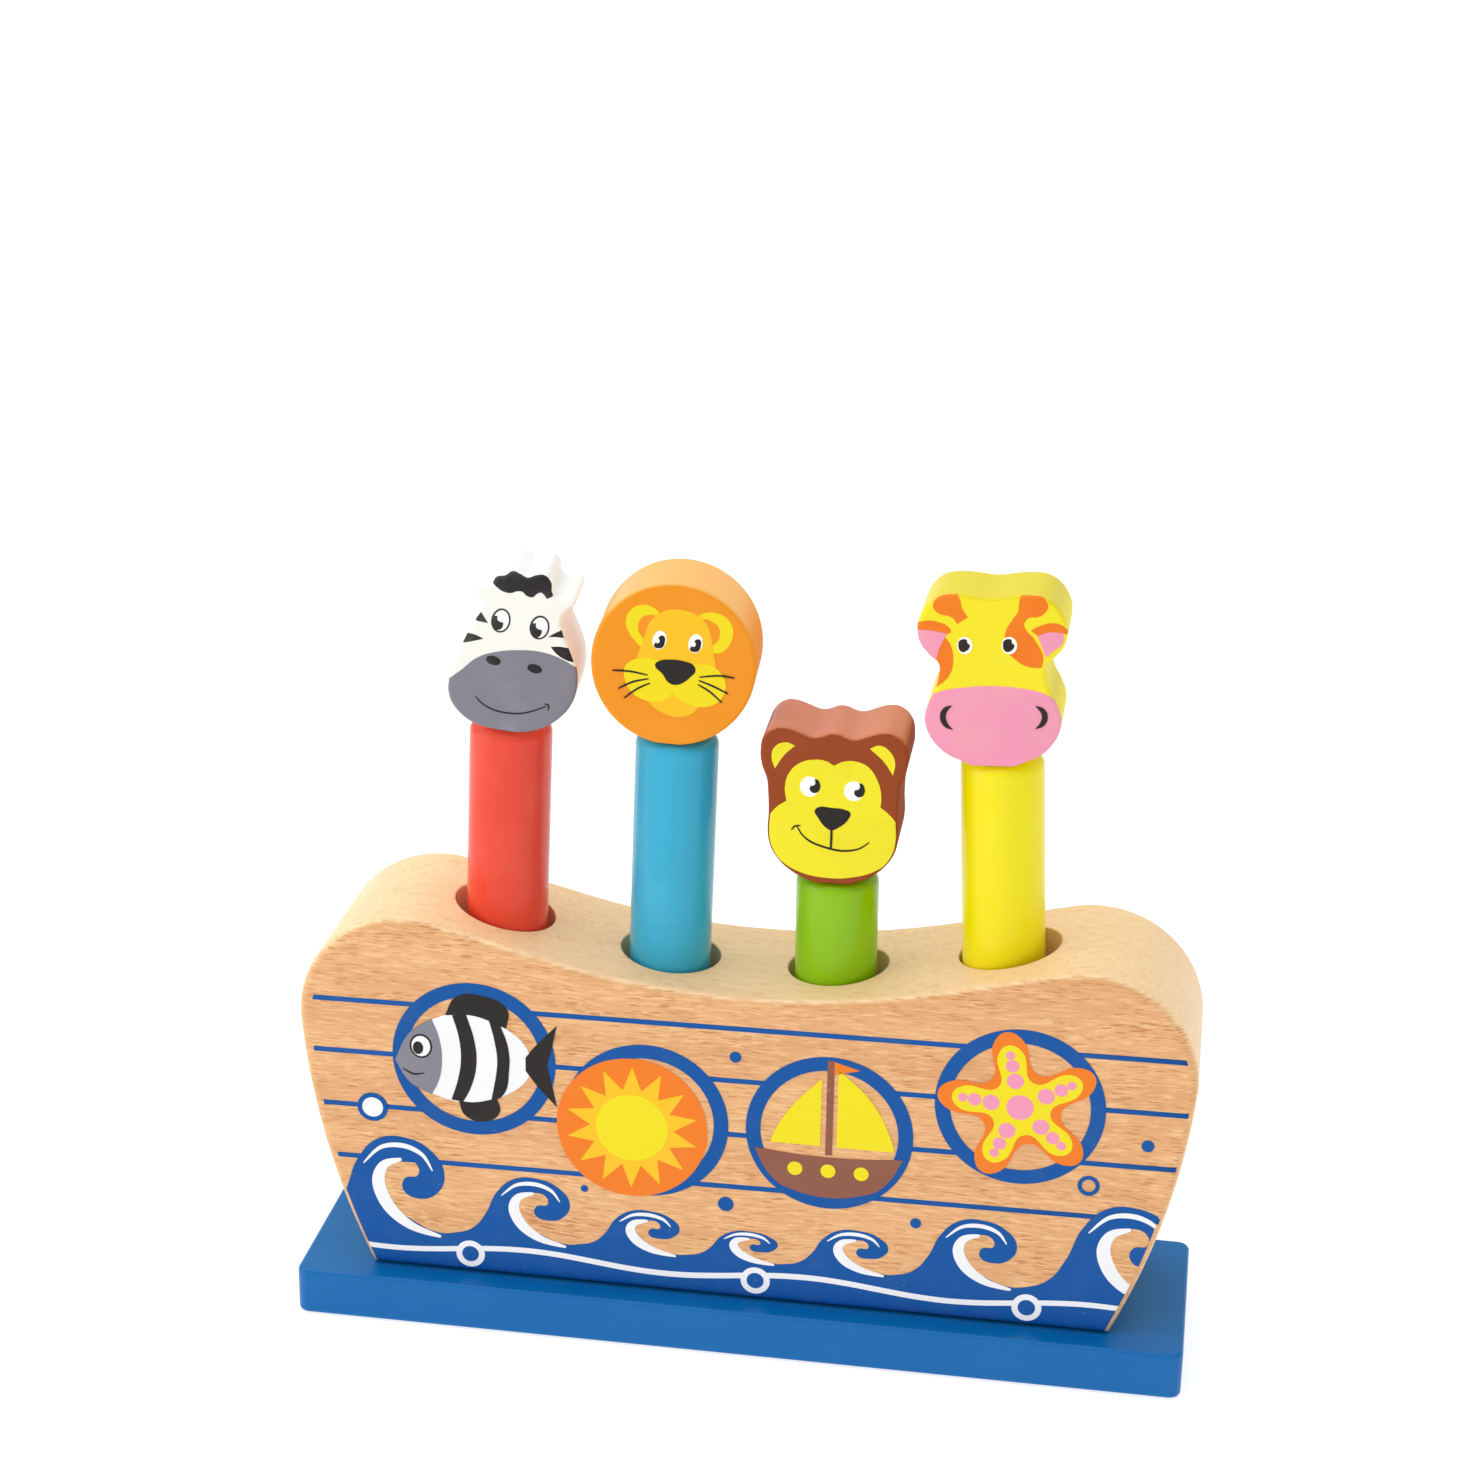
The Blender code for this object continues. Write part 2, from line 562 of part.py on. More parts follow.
base_board()
ark_hull()
for screw_number, screw_x in enumerate(base_screw_places, 1):
    base_screw(f"base_screw_{screw_number}", screw_x)
for each in PEGS:
    coil_spring(each["animal"] + "_spring", peg_x(each), spring_height(each))
    spring_washer(each["animal"] + "_spring_washer", peg_x(each))
    spring_screw(each["animal"] + "_spring_screw", peg_x(each))
    peg_pieces(each)
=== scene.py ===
"""Looks of a wooden pop-up peg toy: a beech block with a screen-printed front on a painted board, and four
painted pegs with flat printed animal heads that stand on coil springs. Metres throughout, +Z up, front at -Y.
The outlines of prints are written in millimetres."""

import json
import math

import bmesh
import bpy
from mathutils import Matrix, Vector


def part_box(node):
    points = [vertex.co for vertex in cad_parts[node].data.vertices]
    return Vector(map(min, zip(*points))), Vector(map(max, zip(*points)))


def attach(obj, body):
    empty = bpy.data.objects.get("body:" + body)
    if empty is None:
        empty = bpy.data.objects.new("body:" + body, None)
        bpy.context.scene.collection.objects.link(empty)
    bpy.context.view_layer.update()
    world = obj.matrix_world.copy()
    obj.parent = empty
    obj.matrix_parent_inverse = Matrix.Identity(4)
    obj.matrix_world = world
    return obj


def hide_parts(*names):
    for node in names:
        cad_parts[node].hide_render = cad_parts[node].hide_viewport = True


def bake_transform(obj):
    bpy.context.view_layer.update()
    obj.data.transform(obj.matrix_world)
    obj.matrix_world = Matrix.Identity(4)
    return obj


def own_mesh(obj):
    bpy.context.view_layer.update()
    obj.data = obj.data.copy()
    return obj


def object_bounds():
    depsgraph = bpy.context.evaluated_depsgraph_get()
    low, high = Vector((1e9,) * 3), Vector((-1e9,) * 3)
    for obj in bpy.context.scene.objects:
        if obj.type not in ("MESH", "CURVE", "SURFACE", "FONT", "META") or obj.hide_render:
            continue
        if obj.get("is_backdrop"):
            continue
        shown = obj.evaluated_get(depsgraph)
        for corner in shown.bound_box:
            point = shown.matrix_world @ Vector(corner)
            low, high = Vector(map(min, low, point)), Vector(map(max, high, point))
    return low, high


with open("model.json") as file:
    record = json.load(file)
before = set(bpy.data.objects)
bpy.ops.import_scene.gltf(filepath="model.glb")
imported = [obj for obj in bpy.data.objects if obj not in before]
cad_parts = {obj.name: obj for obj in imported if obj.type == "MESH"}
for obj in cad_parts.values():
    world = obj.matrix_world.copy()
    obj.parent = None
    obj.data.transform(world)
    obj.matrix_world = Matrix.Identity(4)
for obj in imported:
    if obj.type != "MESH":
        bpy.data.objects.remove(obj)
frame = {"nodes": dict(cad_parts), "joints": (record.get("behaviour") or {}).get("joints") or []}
cad_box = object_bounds()

# Camera: a long lens, a little to the right of the toy and looking down on it, as in the photograph. It
# stands where the board, the block and the bores come out as they do there.
camera_stand = (0.10156, -0.69433, 0.41354)
camera_turn, camera_dip, camera_roll = 8.79, 20.51, 1.05
lens_length, film_width = 77.98, 36


def adjusted(thing, **settings):
    """The thing, with those settings."""
    for name, value in settings.items():
        setattr(thing, name, value)
    return thing


def placed(name, data):
    """A new object that holds the data, put in the scene."""
    made = bpy.data.objects.new(name, data)
    bpy.context.scene.collection.objects.link(made)
    return made


def rotation(degrees, axis):
    return Matrix.Rotation(math.radians(degrees), 4, axis)


film = adjusted(bpy.data.cameras.new("camera"), lens=lens_length, sensor_width=film_width, clip_start=0.01)
camera = placed("camera", film)
camera.matrix_world = (Matrix.Translation(camera_stand) @ rotation(camera_turn, "Z")
                       @ rotation(90 - camera_dip, "X") @ rotation(camera_roll, "Z"))
bpy.context.scene.camera = camera

# Studio: a white room, with a large softbox above and a weaker one at the left, so that the tops are the
# brightest faces and round pieces have a light side.
WHITE = (1.0, 1.0, 1.0, 1.0)
room_brightness = 0.69
toy_middle = Vector((0.0, 0.0, 0.08))


def set_shader(tree, kind, **values):
    """Set values of a tree's shader, each named with _ for its spaces, and return the shader's inputs."""
    inputs = tree.nodes[kind].inputs
    for label, value in values.items():
        inputs[label.replace("_", " ")].default_value = value
    return inputs


room = bpy.data.worlds.new("white_room")
room.use_nodes = True
set_shader(room.node_tree, "Background", Color=WHITE, Strength=room_brightness)
bpy.context.scene.world = room
bpy.context.scene.view_settings.view_transform = "Standard"


def softbox(name, stand, size, power):
    """A square soft light that faces the toy."""
    lamp = adjusted(bpy.data.lights.new(name, "AREA"), shape="SQUARE", size=size, energy=power)
    light = placed(name, lamp)
    light.location = stand
    light.rotation_euler = (toy_middle - Vector(stand)).to_track_quat("-Z", "Y").to_euler()


softbox("top_softbox", (-0.4, 0.1, 1.45), 2.0, 15.0)
softbox("left_softbox", (-1.3, -0.5, 0.4), 1.0, 4.5)

# Base board: solid wood, its corners and edges sanded round, sprayed with blue paint. Three countersunk holes
# beneath take the screws that hold the block, and the spring screws are driven into it from above. Every
# finish is procedural, in object coordinates, so that it stays with its piece.
board_low, board_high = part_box("base_board")
board_corner_radius, board_corner_steps = 0.003, 10
board_edge_round, board_edge_steps = 0.001, 4
sink_steps = 40
cut_overrun = 0.002
fit_gap = 0.0003
weld = 1e-6
crease_angle = math.radians(38)
flat_face_weight = 80
COLOUR, NUMBER = "NodeSocketColor", "NodeSocketFloat"


def linear(value):
    """A screen colour, 0 to 255, as the linear colour that a shader takes. A plain number stays as it is."""
    if not isinstance(value, tuple):
        return value
    shares = [part / 255 for part in value]
    return (*(s / 12.92 if s <= 0.04045 else ((s + 0.055) / 1.055) ** 2.4 for s in shares), 1.0)


def node(kind, inputs, **settings):
    """A node with its settings and its inputs, in the tree of the sockets that it is linked to."""
    tree = next(value.id_data for value in inputs.values() if isinstance(value, bpy.types.NodeSocket))
    made = adjusted(tree.nodes.new("ShaderNode" + kind), **settings)
    for label, value in inputs.items():
        if isinstance(value, bpy.types.NodeSocket):
            tree.links.new(value, made.inputs[label])
        else:
            made.inputs[label].default_value = value
    return made


def maths(operation, *values):
    return node("Math", dict(enumerate(values)), operation=operation).outputs[0]


def times(first, second):
    return maths("MULTIPLY", first, second)


def plus(first, second):
    return maths("ADD", first, second)


def ramp(value, start, end, low=0.0, high=1.0):
    """The value carried smoothly from low at start to high at end."""
    inputs = {"Value": value, "From Min": start, "From Max": end, "To Min": low, "To Max": high}
    return node("MapRange", inputs, interpolation_type="SMOOTHSTEP").outputs["Result"]


def mixed(share, first, second):
    return node("Mix", {0: share, 6: first, 7: second}, data_type="RGBA").outputs[2]


def shifted(place, shift):
    return node("VectorMath", {0: place, 1: shift}, operation="ADD").outputs[0]


def cells(place, size):
    """Coordinates in which a cell of that size, in metres, is one unit each way."""
    scale = tuple(1 / edge for edge in size)
    return node("Mapping", {"Vector": place, "Scale": scale}).outputs["Vector"]


def noise(place, size, detail=2.0):
    inputs = {"Vector": cells(place, size), "Scale": 1.0, "Detail": detail}
    return node("TexNoise", inputs).outputs[0]


def facing(place):
    """The way in which the surface looks: its normal's share along each axis."""
    normal = place.id_data.nodes.new("ShaderNodeTexCoord").outputs["Normal"]
    return node("SeparateXYZ", {0: normal}).outputs


def new_group(name, inputs):
    """The inputs of a new node group for a finish, and its place on the piece, moved along by its seed."""
    tree = bpy.data.node_groups.new(name, "ShaderNodeTree")
    for label, value in (inputs | {"Seed": 0.0}).items():
        kind = COLOUR if isinstance(value, tuple) else NUMBER
        tree.interface.new_socket(name=label, in_out="INPUT", socket_type=kind).default_value = linear(value)
    for label, kind in (("Colour", COLOUR), ("Roughness", NUMBER), ("Height", NUMBER)):
        tree.interface.new_socket(name=label, in_out="OUTPUT", socket_type=kind)
    given = tree.nodes.new("NodeGroupInput").outputs
    shift = node("CombineXYZ", {axis: given["Seed"] for axis in "XYZ"}).outputs[0]
    return given, shifted(tree.nodes.new("ShaderNodeTexCoord").outputs["Object"], shift)


def give(colour, roughness, height):
    """Send the results to their group's outputs, and return the group."""
    tree = colour.id_data
    outputs = tree.nodes.new("NodeGroupOutput").inputs
    for number, value in enumerate((colour, roughness, height)):
        tree.links.new(value, outputs[number])
    return tree


def finish(name, group, values, bump_depth, **surface):
    """A material whose colour, roughness and bump come from a group with its own values."""
    made = bpy.data.materials.new(name)
    made.use_nodes = True
    tree = made.node_tree
    shader = set_shader(tree, "Principled BSDF", **surface)
    inner = tree.nodes.new("ShaderNodeGroup")
    inner.node_tree = group
    for label, value in values.items():
        inner.inputs[label].default_value = linear(value)
    bump = node("Bump", {"Height": inner.outputs["Height"], "Distance": bump_depth})
    tree.links.new(inner.outputs["Colour"], shader["Base Color"])
    tree.links.new(inner.outputs["Roughness"], shader["Roughness"])
    tree.links.new(bump.outputs["Normal"], shader["Normal"])
    return made


def paint_coat():
    """Sprayed paint over wood: a slight orange peel, faint streaks along X where the grain telegraphs, and
    patches where the coat is thin. Edges that look up are mixed towards another colour, a painted sheen that
    stands for the light from above on the coat, and sawn edges that look aside or down are duller by Sawn
    Roughness."""
    given, place = new_group("paint_coat", {
        "Paint": (128, 128, 128), "Thin Paint": (150, 150, 150), "Painted Sheen": (128, 128, 128),
        "Patches": 0.2, "Streaks": 0.2, "Painted Sheen Share": 0.0, "Gloss Roughness": 0.3, "Sawn Roughness": 0.0})
    patches = ramp(noise(place, (0.014, 0.014, 0.011), 3.0), 0.42, 0.72)
    streaks = ramp(noise(place, (0.018, 0.0006, 0.0006)), 0.45, 0.75)
    peel = noise(place, (0.0011, 0.0011, 0.0011), 1.0)
    thin = plus(times(patches, given["Patches"]), times(streaks, given["Streaks"]))
    normal = facing(place)
    # Painted sheen: faces that look up are mixed towards another colour, for the light from above on the
    # coat.
    side = times(ramp(normal["Z"], 0.2, 0.75), given["Painted Sheen Share"])
    edge = ramp(maths("ABSOLUTE", normal["Y"]), 0.9, 0.5)
    sawn = times(edge, ramp(normal["Z"], 0.8, 0.3))
    coat = mixed(thin, given["Paint"], given["Thin Paint"])
    rough = plus(given["Gloss Roughness"], times(thin, 0.15))
    return give(
        colour=mixed(side, coat, given["Painted Sheen"]),
        roughness=maths("MULTIPLY_ADD", sawn, given["Sawn Roughness"], rough),
        height=plus(times(peel, 0.5), times(streaks, -0.3)))


PAINT_COAT = paint_coat()
BOARD_BLUE = finish(
    "blue_board_paint", PAINT_COAT,
    {"Paint": (0, 103, 174), "Thin Paint": (24, 118, 186), "Patches": 0.2, "Streaks": 0.1,
     "Gloss Roughness": 0.3, "Seed": 0.3},
    0.00002, Specular_IOR_Level=0.25)


def soften(mesh):
    """Round faces smooth, and flat ones flat."""
    mesh.shade_smooth()
    mesh.set_sharp_from_angle(angle=crease_angle)


def piece_of(name, shape, material):
    """An object from a bmesh, which is used up."""
    mesh = bpy.data.meshes.new(name)
    shape.to_mesh(mesh)
    shape.free()
    made = placed(name, mesh)
    mesh.materials.append(material)
    soften(mesh)
    return made


def turned(name, profile, steps, material):
    """A piece turned about Z, from pairs of radius and height down its outer side."""
    shape = bmesh.new()
    corners = [shape.verts.new((radius, 0, height)) for radius, height in profile]
    edges = [shape.edges.new(pair) for pair in zip(corners, corners[1:])]
    bmesh.ops.spin(shape, geom=corners + edges, cent=(0, 0, 0), axis=(0, 0, 1), angle=math.tau, steps=steps,
                   use_merge=True)
    bmesh.ops.remove_doubles(shape, verts=shape.verts, dist=weld)
    bmesh.ops.recalc_face_normals(shape, faces=shape.faces)
    return piece_of(name, shape, material)


def hole_profile(radius, low, high):
    return [(0, high), (radius, high), (radius, low), (0, low)]


def as_mesh(thing):
    """A new mesh of an object with its modifiers, or of a curve with its thickness."""
    bpy.context.view_layer.update()
    return bpy.data.meshes.new_from_object(thing.evaluated_get(bpy.context.evaluated_depsgraph_get()))


def carve(piece, tool, operation="DIFFERENCE"):
    """Cut the piece by the tool, or keep it only inside. The tool is used up."""
    adjusted(piece.modifiers.new("carve", "BOOLEAN"), operation=operation, object=tool)
    carved = as_mesh(piece)
    piece.modifiers.clear()
    whole, carved.name = piece.data, piece.data.name
    piece.data = carved
    while len(carved.materials) > 1:
        carved.materials.pop()
    for face in carved.polygons:
        face.material_index = 0
    bpy.data.meshes.remove(whole)
    bpy.data.objects.remove(tool)


def even_shading(piece):
    """Large flat faces keep their own normals beside the rounded edges."""
    soften(piece.data)
    even = piece.modifiers.new("even_shading", "WEIGHTED_NORMAL")
    adjusted(even, keep_sharp=True, weight=flat_face_weight)


def round_off(shape, lowest, highest, radius, steps):
    """Round the edges that rise by no less and no more than that."""
    edges = [edge for edge in shape.edges
             if lowest <= abs(edge.verts[0].co.z - edge.verts[1].co.z) <= highest]
    bmesh.ops.bevel(shape, geom=edges, offset=radius, segments=steps, profile=0.5, affect="EDGES")


def base_board():
    length, depth, thickness = board_high - board_low
    shape = bmesh.new()
    bmesh.ops.create_cube(shape, size=1)
    bmesh.ops.scale(shape, vec=(length, depth, thickness), verts=shape.verts)
    bmesh.ops.translate(shape, vec=(board_low + board_high) / 2, verts=shape.verts)
    round_off(shape, thickness / 2, 2 * thickness, board_corner_radius, board_corner_steps)
    round_off(shape, 0, thickness / 4, board_edge_round, board_edge_steps)
    board = piece_of("board", shape, BOARD_BLUE)
    for screw in ("base_screw_1", "base_screw_2", "base_screw_3"):
        low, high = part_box(screw)
        head_radius = (high.x - low.x) / 2 + fit_gap
        shank_radius = head_radius / 2
        above = board_high.z + cut_overrun
        profile = [(0, above), (shank_radius, above), (shank_radius, low.z + shank_radius),
                   (head_radius, low.z), (head_radius, -cut_overrun), (0, -cut_overrun)]
        sink = turned("countersink", profile, sink_steps, BOARD_BLUE)
        sink.location.x = (low.x + high.x) / 2
        carve(board, sink)
    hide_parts("base_board")
    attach(board, "ark")
    even_shading(board)


base_board()

# Screws and washers: zinc-plated steel. The base screws go up into the block, and a pan-head screw on a
# washer holds each spring's eye to the board. Their modelled shapes stay, with a dulled plating.


def plated_steel():
    """Barrel-plated steel: a soft mottle in the plating, with duller spots."""
    given, place = new_group("plated_steel", {"Metal": (190, 190, 186), "Dull Metal": (150, 150, 146)})
    mottle = noise(place, (0.0016, 0.0016, 0.0016), 3.0)
    return give(
        colour=mixed(ramp(mottle, 0.45, 0.7), given["Metal"], given["Dull Metal"]),
        roughness=ramp(mottle, 0.3, 0.7, 0.28, 0.5), height=mottle)


def dress(word, material):
    """Give the modelled nodes with that word in their names a finish. Their shapes stay."""
    for name, shown in frame["nodes"].items():
        if word in name:
            shown.data.materials.clear()
            shown.data.materials.append(material)


PLATED_STEEL = plated_steel()
ZINC = finish("zinc_plating", PLATED_STEEL, {"Seed": 0.7}, 0.00001, Metallic=1.0)
dress("screw", ZINC)
dress("washer", ZINC)

# Ark-shaped block: one piece of solid beech, sawn to an outline of arcs, bored for the pegs, its edges and
# the bores' rims rounded, and clear-lacquered. The grain runs along its length.
hull_low, hull_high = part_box("ark_hull")
hull_length, hull_thickness, _ = hull_high - hull_low
hull_foot_length = 0.1818
deck_dip = 0.01335
deck_radius = 0.196
shoulder_radius = 0.0266
side_radius = 0.192
side_steps, shoulder_steps, deck_steps = 24, 40, 24
fine_weld = 1e-7
hull_edge_round, hull_edge_steps = 0.0022, 7
peg_pitch = 0.041
bore_radius = 0.0121
bore_rim_round = 0.0004
bore_steps, bore_rim_steps = 72, 5
bore_rim_turn = math.radians(75)
pilot_radius, pilot_height, pilot_steps = 0.0023, 0.0353, 24
SLOTS = (-1.5, -0.5, 0.5, 1.5)


def specks(place, size, share, rim, core):
    """Specks in cells of that size, in that share of the cells, which grow from rim to full at the core."""
    inputs = {"Vector": cells(place, size), "Scale": 1.0, "Randomness": 1.0}
    found = node("TexVoronoi", inputs, voronoi_dimensions="3D", feature="F1").outputs
    chance = node("SeparateColor", {"Color": found["Color"]}).outputs[0]
    return times(ramp(found["Distance"], rim, core), maths("LESS_THAN", chance, share))


def beech_grain():
    """Lacquered beech: soft growth bands and fine fibres along X, with the short dark flecks of its rays,
    which show most on the faces that look along Y. Faces that look up have fine ticks of grain and are
    painted paler, for the light from above, and the rounded upper edge has a painted highlight."""
    given, place = new_group("beech_grain", {
        "Wood": (234, 180, 126), "Band": (219, 159, 108), "Fleck": (186, 114, 58),
        "Pale Fibre": (250, 206, 152), "Lit Top Wood": (250, 219, 170), "Lit Top Band": (238, 192, 134),
        "Painted Edge Highlight": (255, 226, 180), "Fleck Share": 0.8})
    wander = ramp(noise(place, (0.05, 0.04, 0.03), 1.0), 0.0, 1.0, -0.0025, 0.0025)
    ripple = ramp(noise(place, (0.006, 0.004, 0.003), 1.0), 0.0, 1.0, -0.0002, 0.0002)
    drift = node("CombineXYZ", {"Z": plus(wander, ripple)}).outputs[0]
    grain = shifted(place, drift)
    bands = ramp(noise(grain, (0.09, 0.012, 0.006)), 0.35, 0.7)
    fibres = noise(grain, (0.0050, 0.0012, 0.00042), 3.0)
    normal = facing(place)
    front = ramp(maths("ABSOLUTE", normal["Y"]), 0.2, 0.9)
    strength = ramp(noise(grain, (0.02, 0.01, 0.008), 1.0), 0.3, 0.7, 0.35, 1.0)
    shown = times(maths("MULTIPLY_ADD", front, 0.85, 0.15), strength)
    rays = specks(grain, (0.0048, 0.0026, 0.00054), given["Fleck Share"], 0.4, 0.24)
    flecks = times(rays, shown)
    wood = mixed(times(bands, 0.6), given["Wood"], given["Band"])
    wood = mixed(ramp(fibres, 0.52, 0.64, 0.0, 0.55), wood, given["Band"])
    wood = mixed(ramp(fibres, 0.46, 0.36, 0.0, 0.6), wood, given["Pale Fibre"])
    lines = ramp(noise(grain, (0.02, 0.0018, 0.0018), 3.0), 0.45, 0.7, 0.0, 0.28)
    ticks = ramp(fibres, 0.54, 0.66, 0.0, 0.55)
    # Painted light: faces that look up are mixed towards paler wood colours, for the light from above; the
    # ticks in them are grain.
    top = mixed(maths("MAXIMUM", lines, ticks), given["Lit Top Wood"], given["Lit Top Band"])
    wood = mixed(maths("MULTIPLY_ADD", front, -0.85, 0.85), wood, top)
    # Painted highlight: a pale band along the rounded edge where it looks up, broken by the fibres.
    edge = times(front, maths("SUBTRACT", 1.0, front))
    edge = times(edge, ramp(normal["Z"], 0.1, 0.5))
    painted_edge_highlight = times(edge, ramp(fibres, 0.35, 0.6, 3.2, 1.2))
    wood = mixed(painted_edge_highlight, wood, given["Painted Edge Highlight"])
    return give(
        colour=mixed(times(flecks, 0.68), wood, given["Fleck"]),
        roughness=ramp(fibres, 0.3, 0.7, 0.34, 0.46),
        height=maths("SUBTRACT", times(fibres, 0.4), flecks))


BEECH_GRAIN = beech_grain()
LACQUERED_BEECH = finish("lacquered_beech", BEECH_GRAIN, {"Seed": 0.11}, 0.00003, Specular_IOR_Level=0.3)


def tangent_centre(centre, radius, point, reach):
    """The middle of a circle of that reach through the point, bowing out to +X round the smaller circle."""
    gap = point - centre
    near = reach - radius
    along = (near**2 - reach**2 + gap.length**2) / (2 * gap.length)
    aside = math.sqrt(near**2 - along**2)
    way = gap.normalized()
    middles = [centre + along * way + aside * side * Vector((-way.y, way.x)) for side in (-1, 1)]
    return min(middles, key=lambda middle: middle.x)


def heading(start, end):
    return math.atan2(end.y - start.y, end.x - start.x)


def polar(angle, reach, x=0.0, z=0.0):
    """The point that lies that way and that far from a place."""
    return x + reach * math.cos(angle), z + reach * math.sin(angle)


def arc(centre, radius, start, end, steps):
    """Points round an arc, without its last."""
    return [polar(start + (end - start) * step / steps, radius, *centre) for step in range(steps)]


foot_corner = Vector((hull_foot_length / 2, hull_low.z))
shoulder_centre = Vector((hull_length / 2 - shoulder_radius, hull_high.z - shoulder_radius))
side_centre = tangent_centre(shoulder_centre, shoulder_radius, foot_corner, side_radius)
deck_middle = hull_high.z - deck_dip
deck_centre = Vector((0, deck_middle + deck_radius))
slope_share = (deck_radius + shoulder_radius) / (deck_centre - shoulder_centre).length
slope_normal = heading(shoulder_centre, deck_centre) - math.acos(slope_share)
slope_up = Vector(polar(slope_normal, 1))
slope_foot = deck_centre - deck_radius * slope_up


def deck_height(x):
    """Height of the deck: an arc in the middle, then a straight slope up to the shoulders."""
    if abs(x) < slope_foot.x:
        return deck_centre.y - math.sqrt(deck_radius**2 - x**2)
    return slope_foot.y - (abs(x) - slope_foot.x) / math.tan(slope_normal)


def hull_outline():
    side_end = heading(side_centre, shoulder_centre)
    half = arc(side_centre, side_radius, heading(side_centre, foot_corner), side_end, side_steps)
    half += arc(shoulder_centre, shoulder_radius, side_end, slope_normal, shoulder_steps)
    half.append(tuple(shoulder_centre + shoulder_radius * slope_up))
    half += arc(deck_centre, deck_radius, slope_normal - math.pi, math.radians(-90), deck_steps)
    return half + [(0, deck_middle)] + [(-x, z) for x, z in reversed(half)]


def smooth(points, corners=(), seated=False):
    """An outline through the points, smooth except at the numbered corners. A seated one runs straight from
    its last point to its first."""
    return {"points": points, "corners": set(corners), "seated": seated}


def solid_curve(curve, reach):
    """The bmesh of a curve with its thickness, points within reach welded. The curve is used up."""
    drawn = placed(curve.name, curve)
    mesh = as_mesh(drawn)
    bpy.data.objects.remove(drawn)
    bpy.data.curves.remove(curve)
    shape = bmesh.new()
    shape.from_mesh(mesh)
    bpy.data.meshes.remove(mesh)
    bmesh.ops.remove_doubles(shape, verts=shape.verts, dist=reach)
    return shape


def flat_block(name, outlines, thickness, edge_round, material, unit=1.0, proud=0.0, fineness=8,
               edge_steps=4):
    """A flat block centred on Y with rounded edges, cut to outlines of X and Z pairs. An outline inside
    another is a hole. All of its surface stands out by as much as proud."""
    curve = adjusted(
        bpy.data.curves.new(name, "CURVE"), dimensions="2D", fill_mode="BOTH", resolution_u=fineness,
        extrude=thickness / 2 - edge_round, bevel_depth=edge_round + proud, bevel_resolution=edge_steps - 1,
        offset=-edge_round)
    for outline in outlines:
        curved = isinstance(outline, dict)
        points = outline["points"] if curved else outline
        spline = curve.splines.new("BEZIER" if curved else "POLY")
        knots = spline.bezier_points if curved else spline.points
        knots.add(len(points) - 1)
        for number, (knot, (x, z)) in enumerate(zip(knots, points)):
            knot.co = (x * unit, z * unit, 0) if curved else (x * unit, z * unit, 0, 1)
            if curved:
                sharp = number in outline["corners"]
                knot.handle_left_type = knot.handle_right_type = "VECTOR" if sharp else "AUTO"
        if curved and outline["seated"]:
            knots[0].handle_left_type = "VECTOR"
            knots[len(points) - 1].handle_right_type = "VECTOR"
        spline.use_cyclic_u = True
    shape = solid_curve(curve, fine_weld)
    bmesh.ops.rotate(shape, matrix=Matrix.Rotation(math.radians(90), 3, "X"), verts=shape.verts)
    bmesh.ops.recalc_face_normals(shape, faces=shape.faces)
    return piece_of(name, shape, material)


def bore_cutter(x):
    """A round cutter that flares at the deck, so that the bore's rim comes out rounded all the way round."""
    shape = bmesh.new()
    rings = []
    for step in range(bore_steps):
        way = Vector(polar(math.tau * step / bore_steps, 1))
        ring = [(bore_radius, hull_low.z - cut_overrun)]
        for rim_step in range(bore_rim_steps):
            tilt = bore_rim_turn * rim_step / (bore_rim_steps - 1)
            out = bore_radius + bore_rim_round * (1 - math.cos(tilt))
            surface = deck_height(x + out * way.x)
            ring.append((out, surface - bore_rim_round * (1 - math.sin(tilt))))
        ring.append((bore_radius + 3 * bore_rim_round, surface + bore_rim_round))
        ring.append((bore_radius + 3 * bore_rim_round, hull_high.z + cut_overrun))
        rings.append([shape.verts.new((x + out * way.x, out * way.y, z)) for out, z in ring])
    for ring, following in zip(rings, rings[1:] + rings[:1]):
        for low, high in zip(range(len(ring) - 1), range(1, len(ring))):
            shape.faces.new((ring[low], following[low], following[high], ring[high]))
    shape.faces.new([ring[0] for ring in reversed(rings)])
    shape.faces.new([ring[-1] for ring in rings])
    bmesh.ops.recalc_face_normals(shape, faces=shape.faces)
    return piece_of("bore", shape, LACQUERED_BEECH)


def ark_block():
    block = flat_block("ark_block", [hull_outline()], hull_thickness, hull_edge_round, LACQUERED_BEECH,
                       edge_steps=hull_edge_steps)
    for slot in SLOTS:
        carve(block, bore_cutter(slot * peg_pitch))
    for slot in (-1, 0, 1):
        profile = hole_profile(pilot_radius, hull_low.z - cut_overrun, pilot_height)
        pilot = turned("pilot", profile, pilot_steps, LACQUERED_BEECH)
        pilot.location.x = slot * peg_pitch
        carve(block, pilot)
    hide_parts("ark_hull")
    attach(block, "ark")
    even_shading(block)


ark_block()

# Print on the block's front: screen ink, laid in flat layers on the lacquer. Plank lines follow the deck, a
# porthole stands under each bore with a seaside sign in it, and waves run along the foot.
MM = 0.001
ink_thickness = 0.00004
ink_set = 0.0001
print_margin, print_shift = 0.0022, 0.0007
water_margin, water_depth = 0.0019, 0.0006
foot_margin = 0.0004
porthole_radius, porthole_band = 20.1, 3.55
portholes = ((-64.6, 70.8), (-22.4, 58.5), (22.0, 59.5), (66.9, 70.9))
plank_heights = (84.9, 71.2, 56.9, 42.85)
plank_rise, plank_line = 0.011, 1.3


